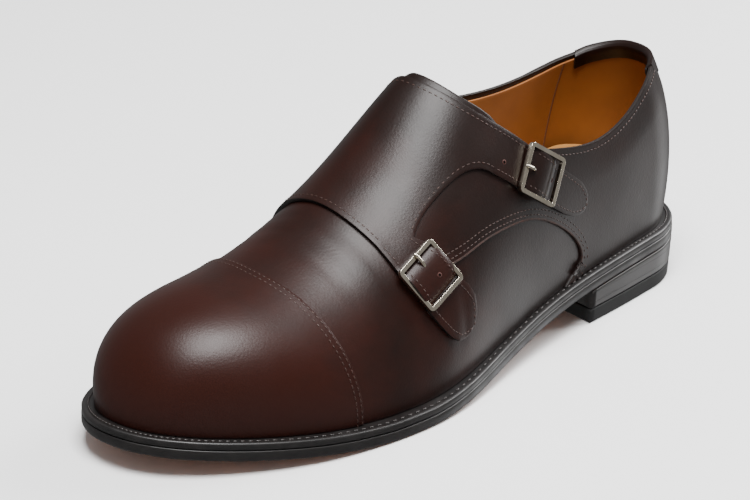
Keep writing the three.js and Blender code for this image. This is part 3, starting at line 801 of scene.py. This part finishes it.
class SHOE_OT_upper(bpy.types.Operator):
    """Vamp and quarters, toe cap, raised seams and back tab"""
    bl_idname = "shoe.upper"
    bl_label = "Upper"

    def execute(self, context):
        size = context.scene.shoe_sizes
        bm = wall_sheet(0.0, len(U_STATIONS) - 1, 60, 0.0)
        o = piece_from(bm, "vamp_and_quarters", [burnished_calf, inked_edge], "upper")
        thicken(o, size.upper_thickness * 1000, 0.35, rim=1)

        lift = size.cap_lift * 1000

        def cap(s, t):
            # t across from the outer feather line over the ridge to the inner one
            row = np.where(t <= 0.5, t * 2, (1 - t) * 2)
            side = np.where(t <= 0.5, 1.0, -1.0)
            th = row * np.pi / 2
            u0 = np.full_like(t, 232.0)
            for _ in range(4):
                v = np.where(side > 0, 1, -1) * angle_to_girth(u0, th, side)
                u0 = cap_u(v)
            u = u0 + (FEATHER[1] - u0) * np.sin(s * np.pi / 2)
            return last(u, th, side, -lift)
        o = piece_from(face_out(sheet(90, 120, cap)), "toe_cap", [burnished_calf, inked_edge])
        thicken(o, lift + 0.1, 0.3, rim=1)

        quarter = face_out(sheet(170, 60, lifted_quarter))
        o = piece_from(quarter, "outer_quarter", [burnished_calf, inked_edge])
        thicken(o, 1.1, 0.2, rim=1)
        cut_edge("quarter_seam_edge", QUARTER_SEAM, -1, QUARTER_LIFT, raw_edge)
        self.back_tab()
        return {"FINISHED"}

    def back_tab(self):
        """Small shield over the back seam, folded over the collar."""
        u = np.linspace(5, 60, 600)
        run = running(np.diff(u), np.diff(feather_half(u, 0.0)))
        turn = np.array([[5.0, 2.5], [0.6, 2.6], [-0.7, 2.2], [-1.1, 1.2], [-1.1, 0.0], [-0.6, -0.85]])

        def place(s, t):
            side = np.where(s < 0.5, 1.0, -1.0)
            a = np.abs(s * 2 - 1)
            at = np.interp(np.maximum(a * 31, 0.05), run, u)
            low = 3.0 + 15.5 * (1 - a)**1.25
            k = np.linspace(0, 0.5, len(turn))
            drop = np.where(t < 0.5, np.interp(t, k, turn[:, 0]), -0.6 + (low + 0.6) * (t - 0.5) * 2)
            drawn = np.where(t < 0.5, np.interp(t, k, turn[:, 1]), -0.85) + 0.55 * smooth((a - 0.8) / 0.2)
            top = np.where(side > 0, topline_out(at), topline_in(at))
            th = np.arcsin(np.clip((top - drop) / crown(at), 0, 1)**(full_side(at) / 2))
            return last(at, th, side, drawn)
        bm = face_out(sheet(60, 40, place))
        o = piece_from(bm, "back_tab", [burnished_calf, inked_edge])
        thicken(o, 0.8, 0.25, rim=1)


def angle_to_girth(u, th, side):
    """Girth from the ridge of the point at angle th."""
    out = np.empty_like(u)
    for sgn in (1, -1):
        g = GIRTH[sgn]
        m = side == sgn
        i = np.clip(np.round((u[m] - g.u[0]) / (g.u[1] - g.u[0])).astype(int), 0, len(g.u) - 1)
        rows = g.th[i][:, ::-1]
        k = np.array([np.interp(a, r, np.linspace(1, 0, r.size)) for a, r in zip(th[m], rows)])
        out[m] = k * g.total[i]
    return out


def cap_u(v):
    """Where the cap's seam crosses a girth."""
    order = np.argsort(CAP_SEAM.p[:, 1])
    return np.interp(v, CAP_SEAM.p[order, 1], CAP_SEAM.p[order, 0])


def cut_edge(name, path, side, lift, maker):
    """Narrow band along the cut edge of a leather that lies on top."""
    turn = np.array([[0.05, -0.3], [-0.12, 0.7], [-0.02, 0.98], [0.25, 1.08], [0.7, 1.03], [0.95, 0.9]])

    def place(s, t):
        k = np.linspace(0, 1, len(turn))
        p = path.aside(s, np.interp(t, k, turn[:, 0]) * side)
        return surface(p[:, 0], p[:, 1], np.interp(t, k, turn[:, 1]) * lift)[0]
    return piece_from(face_out(sheet(int(path.length / 1.2), 10, place)), name, [maker])


# along the sole's outline: a measure that keeps its length round the heel
RUN_U = np.linspace(FEATHER[0], 200, 4000)
RUN = running(np.diff(RUN_U), np.diff(feather_half(RUN_U, 0.0)))
QUARTER_LIFT = 0.95


def to_run(points):
    """Points with their place measured along the outline."""
    return [(float(np.interp(u, RUN_U, RUN)), v) for u, v in points]


def even_steps(first, end, n):
    """Places from first to end, evenly spaced along the outline."""
    return np.interp(np.linspace(*(np.interp(u, RUN_U, RUN) for u in (first, end)), n), RUN, RUN_U)


def collar_line(side, first, end, n, below):
    """Points along the topline, some way below it."""
    u = even_steps(first, end, n)
    v = side * (angle_to_girth(u, open_angle(u, side), np.full(n, float(side))) + below)
    return list(zip(u, v))


def lifted_quarter(s, t):
    """Outer quarter: s along its seam, whose last bend fans out over the heel, t up to the
    collar and down the heel seam."""
    collar = collar_line(1, 5.4, 130, 24, 0.15)[::-1]
    heel_v = collar[-1][1]
    foot = float(GIRTH[1].length(5.4))
    seam = Path(to_run(QUARTER_POINTS))
    front = to_run([(186, 36), (168, 34), (150, 37), (138, 42.5)])
    heel_seam = [(5.4, heel_v + (foot - heel_v) * k) for k in (0.33, 0.67, 1)]
    rim = Path(front + to_run([*collar, *heel_seam]), corners=(len(front) + len(collar) - 1,))
    back = even_steps(QUARTER_POINTS[-1][0], 5.4, 16)
    foot_line = Path(to_run([(u, float(GIRTH[1].length(u))) for u in back]))
    front_line = Path(to_run([QUARTER_POINTS[0], (183, 49), (186, 36)]))
    bend = seam.d[np.argmin(seam.p[:, 0])] / seam.length
    above = rim.d[np.argmin(np.abs(rim.p[:, 0] - np.interp(84, RUN_U, RUN)))] / rim.length
    run, v = coons(lambda k: seam(np.interp(k, [0, 0.5, 1], [0, bend, 1])),
                   lambda k: rim(np.interp(k, [0, 0.5, 1], [0, above, 1])), front_line, foot_line, s, t).T
    u, v = np.interp(run, RUN, RUN_U), np.maximum(v, 0.5)
    # thinner toward the back seam, skived at the collar
    full = 0.57 + (QUARTER_LIFT - 0.57) * smooth(run / 60)
    down = v - angle_to_girth(u, open_angle(u, 1), np.ones_like(u))
    return surface(u, v, 0.2 + (full - 0.2) * smooth(down / 16))[0]


def coons(c0, c1, d0, d1, s, t):
    """Patch between four lines: c0 and c1 along s, d0 and d1 along t."""
    s, t = np.broadcast_arrays(np.asarray(s, float), np.asarray(t, float))
    p = c0(s), c1(s), d0(t), d1(t)
    s, t = s[..., None], t[..., None]
    corner = (1 - s) * (1 - t) * c0(0) + s * (1 - t) * c0(1) + (1 - s) * t * c1(0) + s * t * c1(1)
    return (1 - t) * p[0] + t * p[1] + (1 - s) * p[2] + s * p[3] - corner


# ------------------------------------------------------------------ strap panel
BUCKLES = {"upper": dict(at=(117.5, 66.6), along=(-0.78, 0.62), tilt=0.1),
           "lower": dict(at=(185.0, 55.2), along=(-0.32, 0.947), tilt=0.0)}
# outer length of the frame's square, its bar's width and height, corner radius, top over lift
BUCKLE_LENGTH, BAR_WIDE, BAR_TALL, CORNER, BUCKLE_TOP = 20.5, 1.75, 1.9, 1.1, 1.7
STRAP, STRAP_LIFT = 1.6, 0.55


def buckle_frame(b):
    """Place of a buckle: x along its strap, z off the last."""
    u, v = b["at"]
    ex, ey = b["along"]
    p, n = surface(np.array([u]), np.array([v]), 0.0)
    q = on_last(np.array([u + ex * 4]), np.array([v + ey * 4]))[0]
    r = on_last(np.array([u - ex * 4]), np.array([v - ey * 4]))[0]
    n = Vector(n[0])
    e1 = Vector(q - r).normalized()
    e1 = (e1 + n * b["tilt"]).normalized()
    e2 = n.cross(e1).normalized()
    e3 = e1.cross(e2).normalized()
    m = Matrix((e1, e2, e3)).transposed().to_4x4()
    m.translation = Vector(p[0])
    return m


def buckle_lift(b):
    """Height at which a buckle's frame clears the strap below its ends."""
    m = np.array(buckle_frame(b).inverted())
    # under the outer and inner edges of both ends
    d, e = np.meshgrid([10.25, 8.45, -10.25, -8.45], np.arange(-3, 4) * 3.3)
    u = b["at"][0] + b["along"][0] * d + b["along"][1] * e
    v = b["at"][1] + b["along"][1] * d - b["along"][0] * e
    p = surface(u, v, np.full(u.shape, STRAP_LIFT + STRAP))[0]
    return (p @ m[2, :3] + m[2, 3]).max() + 0.6


for b in BUCKLES.values():
    b["lift"] = buckle_lift(b)
    b["place"] = np.array(buckle_frame(b))
SWELL = 3.1                    # rise of a strap over its axle

PANEL_TOP = Path([(74, -51.6), (90, -50.3), (106, -47.6), (122, -39.5), (134, -29.5), (142, -19),
                  (147, -9), (148.2, 0), (147, 10.5), (142, 24.5), (134, 37.5), (128.5, 44.5)])
FRONT_POINTS = [(84, -113), (88, -103), (96, -94.5), (108, -87), (125, -79), (150, -71),
                (168, -65.8), (182, -61.6), (188.5, -56), (191.5, -45), (195, -23), (197.7, -9.5),
                (198.3, 4), (198.3, 17), (197.2, 31)]
PANEL_FRONT = Path(FRONT_POINTS)
PANEL_FRONT_LOW = Path(FRONT_POINTS[:7])
PANEL_BACK = Path([(74, -51.6), (78, -70), (82, -92), (84, -113)])
UPPER_ROOT = Path([(128.5, 44.5), (134.5, 48.8), (141.5, 53.8)])
CUT_OUT = Path([(141.5, 53.8), (146, 48.4), (152, 44), (160, 40.8), (169, 39), (177, 38.6), (183.6, 40.5)])
LOWER_ROOT = Path([(183.6, 40.5), (190, 36.5), (197.2, 31)])
STRAP_ROWS = {  # root, then along the middle: place, girth, half width
    "upper": (UPPER_ROOT, ((135, 49.15, 8.0), (126, 59, 8.0), (117, 67, 8.1), (107, 74.5, 8.0),
                           (98, 80.2, 7.9), (92.5, 83.2, 7.3), (88.6, 85.2, 5.4), (86.6, 86.2, 3.2),
                           (85.9, 86.5, 1.6))),
    "lower": (LOWER_ROOT, ((190.4, 35.75, 5.5), (189.2, 41, 6.5), (187.4, 47.5, 7.5),
                           (184.4, 57, 8.0), (180, 68, 7.9), (174.5, 78.5, 7.8), (171.4, 84.0, 7.0),
                           (169.2, 88.0, 4.8), (168.2, 90.0, 2.6), (167.9, 90.7, 1.2)))}


def arch(t):
    """The panel's outer end: root of one strap, the cut-out, root of the other."""
    t = np.asarray(t, float)[..., None]
    return np.where(t < 0.2, UPPER_ROOT(t[..., 0] * 5),
                    np.where(t < 0.8, CUT_OUT((t[..., 0] - 0.2) / 0.6), LOWER_ROOT((t[..., 0] - 0.8) * 5)))


def panel_uv(s, t):
    """Over the foot: s from the inner side to the straps, t from top to front."""
    return coons(PANEL_TOP, PANEL_FRONT, PANEL_BACK, arch, s, t)


STRAP_MIDDLE = {which: Path([r[:2] for r in rows]) for which, (_, rows) in STRAP_ROWS.items()}


def strap_uv(which, t, c, inset=0.0):
    """Point t along a strap from its root and c across it, 0 to 1."""
    root, rows = STRAP_ROWS[which]
    middle = STRAP_MIDDLE[which]
    t, c = np.asarray(t, float), np.asarray(c, float)
    knots = running(*np.diff([r[:2] for r in rows], axis=0).T)
    half = np.interp(t, knots / knots[-1], [r[2] for r in rows]) - inset
    way = middle(0.03) - middle(0)
    skew = (root(0) - middle(0)) @ way / np.linalg.norm(way) / middle.length
    along = np.clip(t + skew * (1 - 2 * c) * (1 - smooth(t / 0.45)), 0, 1)
    free = middle.aside(along, (c * 2 - 1) * np.maximum(half, 0.3))
    k = smooth(t / 0.22)[..., None]
    hem = inset / root.length
    return root(hem + (1 - 2 * hem) * c) * (1 - k) + free * k


def swell_over_axle(b, d):
    """How far the strap rises over the axle, d along it from the axle."""
    return SWELL * np.clip(1 - np.abs(d / 8.8)**2.6, 0, 1)


def panel_lift(u, v):
    """Height of the panel's under face: down on the upper where it is sewn, free at the
    straps, and up over each buckle's axle."""
    lift = 0.12 + (STRAP_LIFT - 0.12) * smooth((v - 34) / 14)
    p = on_last(u, v)
    for b in BUCKLES.values():
        q = (p - b["place"][:3, 3]) @ b["place"][:3, :3]
        lift = lift + swell_over_axle(b, q[..., 0]) * smooth((12 - np.abs(q[..., 1])) / 3) * (v > 20)
    return lift


def panel_top(uv):
    """Height of the panel's upper face; it thins out toward the back of the inner side."""
    u, v = uv[..., 0], uv[..., 1]
    thick = np.where(v < 0, 0.45 + (STRAP - 0.45) * smooth((u - 80) / 60), STRAP)
    return panel_lift(u, v) + thick


def quarter_uv(s, t):
    """Inner quarter, from the back seam to the panel, topline to feather line."""
    u0 = 5.4 + (PANEL_TOP(0)[0] - 5.4) * ease(s * 0.5) * 2
    u1 = 5.4 + (PANEL_BACK(1)[0] - 5.4) * ease(s * 0.5) * 2
    side = np.full_like(u0, -1.0)
    top = angle_to_girth(u0, open_angle(u0, -1), side) + 0.2
    end = PANEL_BACK(t)[..., 1] - PANEL_BACK(0)[1]
    full = GIRTH[-1].length(u1)
    share = end / (PANEL_BACK(1)[1] - PANEL_BACK(0)[1])
    u = u0 + (PANEL_BACK(t)[..., 0] - PANEL_TOP(0)[0]) * s
    v = -(top + (full - top) * share)
    join_v = PANEL_BACK(t)[..., 1]
    k = smooth((s - 0.7) / 0.3)
    return np.stack([u, v * (1 - k) + join_v * k], -1)


class SHOE_OT_straps(bpy.types.Operator):
    """Strap panel with both straps, and the tongue"""
    bl_idname = "shoe.straps"
    bl_label = "Straps and tongue"

    def execute(self, context):
        size = context.scene.shoe_sizes

        def lifted(uv):
            return surface(uv[:, 0], uv[:, 1], panel_top(uv))[0]
        body = face_out(sheet(110, 60, lambda s, t: lifted(panel_uv(s, t))))
        straps = [face_out(sheet(70, 12, lambda t, c, w=w: lifted(strap_uv(w, t, c)))) for w in STRAP_ROWS]
        quarter = face_out(sheet(50, 60, lambda s, t: lifted(quarter_uv(s, t))))
        bm = join(body, *straps, quarter)
        o = piece_from(bm, "strap_panel_leather", [burnished_calf, inked_edge], "strap_panel")
        thicken(o, size.strap_thickness * 1000, 0.35, rim=1)

        top = Path([(139, -22), (142.4, -16), (144.4, -8), (144.7, 2), (143.3, 12), (139.4, 23),
                    (134.3, 32), (131.2, 38), (129.3, 43.5)])
        front = Path([(182, -24), (183, -12), (183, 0), (183, 12), (181, 28)])

        def tongue(s, t):
            uv = top(s) * (1 - t[..., None]) + front(s) * t[..., None]
            at = np.clip(uv[:, 0], 128, THROAT)
            free = smooth((throat_out(at) - uv[:, 1]) / 4) * smooth((throat_in(at) + uv[:, 1]) / 4)
            lift = -WALL - 0.35 + 1.9 * free * (1 - smooth((uv[:, 0] - 150) / 9))
            return surface(uv[:, 0], uv[:, 1], lift)[0]
        o = piece_from(face_out(sheet(40, 40, tongue)), "tongue_leather",
                       [burnished_calf, inked_edge, lining_leather], "tongue")
        thicken(o, 2.0, 0.4, rim=1, inside=2)
        return {"FINISHED"}


class SHOE_OT_buckles(bpy.types.Operator):
    """Both buckles with their axles and prongs"""
    bl_idname = "shoe.buckles"
    bl_label = "Buckles"

    def execute(self, context):
        for which, b in BUCKLES.items():
            place, lift = b["place"], b["lift"]
            reach = (BUCKLE_LENGTH - BAR_WIDE) / 2
            straight, turn = reach - CORNER, CORNER * np.pi / 2

            def ring(s, t):
                # s once round the rounded square, t once round the bar
                q = np.minimum(np.floor(s * 4), 3)
                k = s * 4 - q
                # 14 of a side's 40 steps go round its corner
                run = np.interp(k, [0, 0.325, 0.675, 1],
                                [0, straight, straight + turn, 2 * straight + turn])
                a = np.clip((run - straight) / turn, 0, 1) * np.pi / 2
                x = np.where(run < straight, reach, straight + CORNER * np.cos(a))
                y = np.where(run < straight, run, straight + CORNER * np.sin(a))
                x = np.where(run > straight + turn, straight - (run - straight - turn), x)
                y = np.where(run > straight + turn, reach, y)
                nx, ny = np.cos(a), np.sin(a)
                w = t * 2 * np.pi
                cw, sw = np.cos(w), np.sin(w)
                off = BAR_WIDE / 2 * np.sign(cw) * np.abs(cw)**0.16
                z = lift + BUCKLE_TOP - BAR_TALL / 2 + BAR_TALL / 2 * np.sign(sw) * np.abs(sw)**0.2
                x, y = x + nx * off, y + ny * off
                c, d = np.cos(q * np.pi / 2), np.sin(q * np.pi / 2)
                p = np.stack([x * c - y * d, x * d + y * c, z], -1)
                return p @ place[:3, :3].T + place[:3, 3]
            bm = sheet(160, 20, ring)
            axle = [(0, y, lift - 0.3 - 0.75 * (1 - (abs(y) / reach)**6))
                    for y in np.linspace(-reach, reach, 13)]
            rod(bm, axle, [0.7] * 13, place)
            bmesh.ops.recalc_face_normals(bm, faces=bm.faces)
            piece_from(bm, which + "_buckle_frame", [polished_nickel], which + "_buckle")

            over = lift + BUCKLE_TOP + 0.5
            bm = bmesh.new()
            line = Path([(-3.6, strap_height(b, 3.6) - 1.6), (-5.0, strap_height(b, 5.0) - 0.1),
                         (-6.6, over + 0.2), (-8.2, over + 0.22), (-9.6, over + 0.04),
                         (-10.9, over - 0.35)])
            t = np.linspace(0, 1, 22)
            thick = np.interp(t, [0, 0.15, 0.75, 0.93, 1], [0.75, 0.8, 0.68, 0.55, 0.3])
            rod(bm, [(x, 0, z) for x, z in line(t)], thick, place)
            bmesh.ops.recalc_face_normals(bm, faces=bm.faces)
            piece_from(bm, which + "_prong_worked", [polished_nickel], which + "_prong")
        return {"FINISHED"}


def strap_height(b, d):
    """Height of the strap's upper face, d along it from the axle."""
    return STRAP_LIFT + STRAP + float(swell_over_axle(b, d))


def rod(bm, points, radii, place):
    """Round rod through points, closed at both ends."""
    points = np.array(points, float)
    way = np.gradient(points, axis=0)
    loops = []
    for p, w, r in zip(points, way, radii):
        w = Vector(w).normalized()
        a = w.orthogonal().normalized() if abs(w.y) < 0.9 else Vector((1, 0, 0))
        a = Vector((0, 1, 0)) if abs(w.y) < 0.9 else a
        b = w.cross(a).normalized()
        a = b.cross(w)
        ring = [Vector(p) + (a * math.cos(k) + b * math.sin(k)) * r
                for k in np.linspace(0, 2 * np.pi, 15)[:-1]]
        ring = np.array(ring) @ place[:3, :3].T + place[:3, 3]
        vs = [bm.verts.new(q) for q in to_frame(ring)]
        loops.append([bm.edges.new((m, n)) for m, n in zip(vs, vs[1:] + vs[:1])])
    for a, b in zip(loops, loops[1:]):
        bmesh.ops.bridge_loops(bm, edges=a + b)
    for loop in (loops[0], loops[-1]):
        bmesh.ops.triangle_fill(bm, edges=loop, use_beauty=True)


class SHOE_OT_stitching(bpy.types.Operator):
    """Rows of stitching on the upper"""
    bl_idname = "shoe.stitching"
    bl_label = "Stitching"

    def execute(self, context):
        pitch = context.scene.shoe_sizes.stitch_pitch * 1000

        cap = context.scene.shoe_sizes.cap_lift * 1000 + 0.1
        stitches("cap_stitching", [(CAP_SEAM, 1.1, cap), (CAP_SEAM, 3.1, cap)], brown_thread, pitch)
        quarter = [(QUARTER_SEAM, -2.0, QUARTER_LIFT), (QUARTER_SEAM, -4.1, QUARTER_LIFT)]
        stitches("quarter_stitching", quarter, brown_thread, pitch)

        collar = []
        for side, end in ((1, 126), (-1, 132)):
            collar.append((Path(collar_line(side, 6, end, 40, 2.8)), 0.0, 0.3 if side > 0 else panel_top))
        stitches("collar_stitching", collar, brown_thread, pitch)

        rows = [((PANEL_TOP, 0.02, 1.0), 2.0, panel_top), ((PANEL_FRONT, 0.04, 1.0), -2.0, panel_top),
                (PANEL_FRONT_LOW, -4.2, panel_top), ((CUT_OUT, 0.02, 0.98), 1.9, panel_top)]
        for which in STRAP_ROWS:
            t = np.linspace(0.0, 1.0, 60)
            both = np.concatenate([strap_uv(which, t, np.zeros(60), 1.9),
                                   strap_uv(which, t[::-1], np.ones(60), 1.9)])
            rows.append((Path([tuple(p) for p in thin_out(both)]), 0.0, panel_top))
        stitches("strap_stitching", rows, brown_thread, pitch)

        holes = np.array([(135, 53.3), (111.0, 70.6), (182.6, 57.4)])
        p, n = surface(holes[:, 0], holes[:, 1], panel_top(holes) + 0.02)
        way = np.cross(n, [0.0, 0.0, 1.0])
        # flat dark discs of painted shade stand in for the shaded inside of the punched holes; paler rims of
        # cut leather go round them
        bm = bmesh.new()
        lay(bm, p, way, n, 1.5, 1.5, 0.14, 16)
        piece_from(bm, "strap_hole_painted_shade", [hole_painted_shade])
        bm = bmesh.new()
        lay(bm, p, way, n, 2.1, 2.1, 0.06, 16)
        piece_from(bm, "strap_hole_rims", [cut_calf])
        return {"FINISHED"}


def thin_out(points, step=2.0):
    """Keeps points at least a step apart."""
    kept = [points[0]]
    for p in points[1:]:
        if np.linalg.norm(p - kept[-1]) > step:
            kept.append(p)
    return kept


CAMERA_DISTANCE = 1.323


class SHOE_OT_stage(bpy.types.Operator):
    """Floor, light and camera"""
    bl_idname = "shoe.stage"
    bl_label = "Studio"

    def execute(self, context):
        stage = context.scene.shoe_stage
        bm = bmesh.new()
        # a hair below the tread, so the two faces don't share a plane
        bmesh.ops.create_grid(bm, x_segments=60, y_segments=60, size=6,
                              matrix=Matrix.Translation((0, 0, -0.0002)))
        mesh = bpy.data.meshes.new("floor")
        bm.to_mesh(mesh)
        bm.free()
        mesh.materials.append(finish_of(studio_paper))
        floor = bpy.data.objects.new("floor", mesh)
        context.scene.collection.objects.link(floor)
        floor.visible_glossy = False

        world = bpy.data.worlds.new("studio")
        world.use_nodes = True
        tree = world.node_tree
        # dim room with one bright reflector low on the far outer side
        ray = node(tree, "ShaderNodeTexCoord").outputs["Generated"]
        near = node(tree, "ShaderNodeVectorMath", {0: ray}, operation="DOT_PRODUCT",
                    in_1=direction(168, -22, 1.0)).outputs["Value"]
        glow = node(tree, "ShaderNodeMapRange", {"Value": near}, in_1=math.cos(math.radians(21)),
                    in_2=math.cos(math.radians(8)), in_3=stage.room, in_4=stage.reflector,
                    interpolation_type="SMOOTHSTEP").outputs[0]
        tree.links.new(glow, tree.nodes["Background"].inputs["Strength"])
        tree.nodes["Background"].inputs["Color"].default_value = (1, 1, 1, 1)
        context.scene.world = world
        lamp("overhead", direction(50, 74, 1.5), (0.02, 0, 0), 0.8, 0.8, stage.key)
        lamp("side", direction(168, 33, 1.4), (0, 0, 0.04), 1.0, 0.6, stage.side)

        yaw, tilt, roll = (math.radians(a) for a in (41.61, 22.53, 0.64))
        back = Vector((math.cos(tilt) * math.cos(yaw), math.cos(tilt) * math.sin(yaw), math.sin(tilt)))
        right = Vector((0, 0, 1)).cross(back).normalized()
        up = back.cross(right)
        right, up = (right * math.cos(roll) + up * math.sin(roll),
                     up * math.cos(roll) - right * math.sin(roll))
        aim = Vector((-0.002, -0.0002, 0.040))
        spot = aim + back * CAMERA_DISTANCE
        look = (spot - (aim - right * 0.0133 + up * 0.0028)).normalized()
        right = (right - look * right.dot(look)).normalized()
        up = look.cross(right)
        m = Matrix((right, up, look)).transposed().to_4x4()
        m.translation = spot
        data = bpy.data.cameras.new("camera")
        data.lens = stage.lens
        data.sensor_width = 36
        camera = bpy.data.objects.new("camera", data)
        camera.matrix_world = m
        context.scene.collection.objects.link(camera)
        context.scene.camera = camera
        return {"FINISHED"}


def direction(azimuth, elevation, distance):
    """Point that far away, azimuth from the toe toward the outer side."""
    a, e = math.radians(azimuth), math.radians(elevation)
    flat = distance * math.cos(e)
    return (flat * math.cos(a), flat * math.sin(a), distance * math.sin(e))


def lamp(name, at, to, wide, high, power):
    """Soft light at a point, turned to another."""
    data = bpy.data.lights.new(name, "AREA")
    data.shape = "RECTANGLE"
    data.size, data.size_y = wide, high
    data.energy = power
    o = bpy.data.objects.new(name, data)
    o.location = at
    o.rotation_euler = (Vector(to) - Vector(at)).to_track_quat("-Z", "Y").to_euler()
    bpy.context.scene.collection.objects.link(o)


STEPS = (SHOE_OT_sole, SHOE_OT_inside, SHOE_OT_upper, SHOE_OT_straps, SHOE_OT_buckles,
         SHOE_OT_stitching, SHOE_OT_stage)


class SHOE_PT_panel(bpy.types.Panel):
    """Steps that make the shoe"""
    bl_label = "Monk strap shoe"
    bl_space_type = "VIEW_3D"
    bl_region_type = "UI"
    bl_category = "Shoe"

    def draw(self, context):
        for step in STEPS:
            self.layout.operator(step.bl_idname)


CLASSES = (Sizes, Colours, Stage, *STEPS, SHOE_PT_panel)


def register():
    for c in CLASSES:
        bpy.utils.register_class(c)
    bpy.types.Scene.shoe_sizes = bpy.props.PointerProperty(type=Sizes)
    bpy.types.Scene.shoe_colours = bpy.props.PointerProperty(type=Colours)
    bpy.types.Scene.shoe_stage = bpy.props.PointerProperty(type=Stage)


def unregister():
    del bpy.types.Scene.shoe_stage
    del bpy.types.Scene.shoe_colours
    del bpy.types.Scene.shoe_sizes
    for c in reversed(CLASSES):
        bpy.utils.unregister_class(c)


def main():
    register()
    for step in STEPS:
        group, name = step.bl_idname.split(".")
        getattr(getattr(bpy.ops, group), name)()


if __name__ == "__main__":
    main()
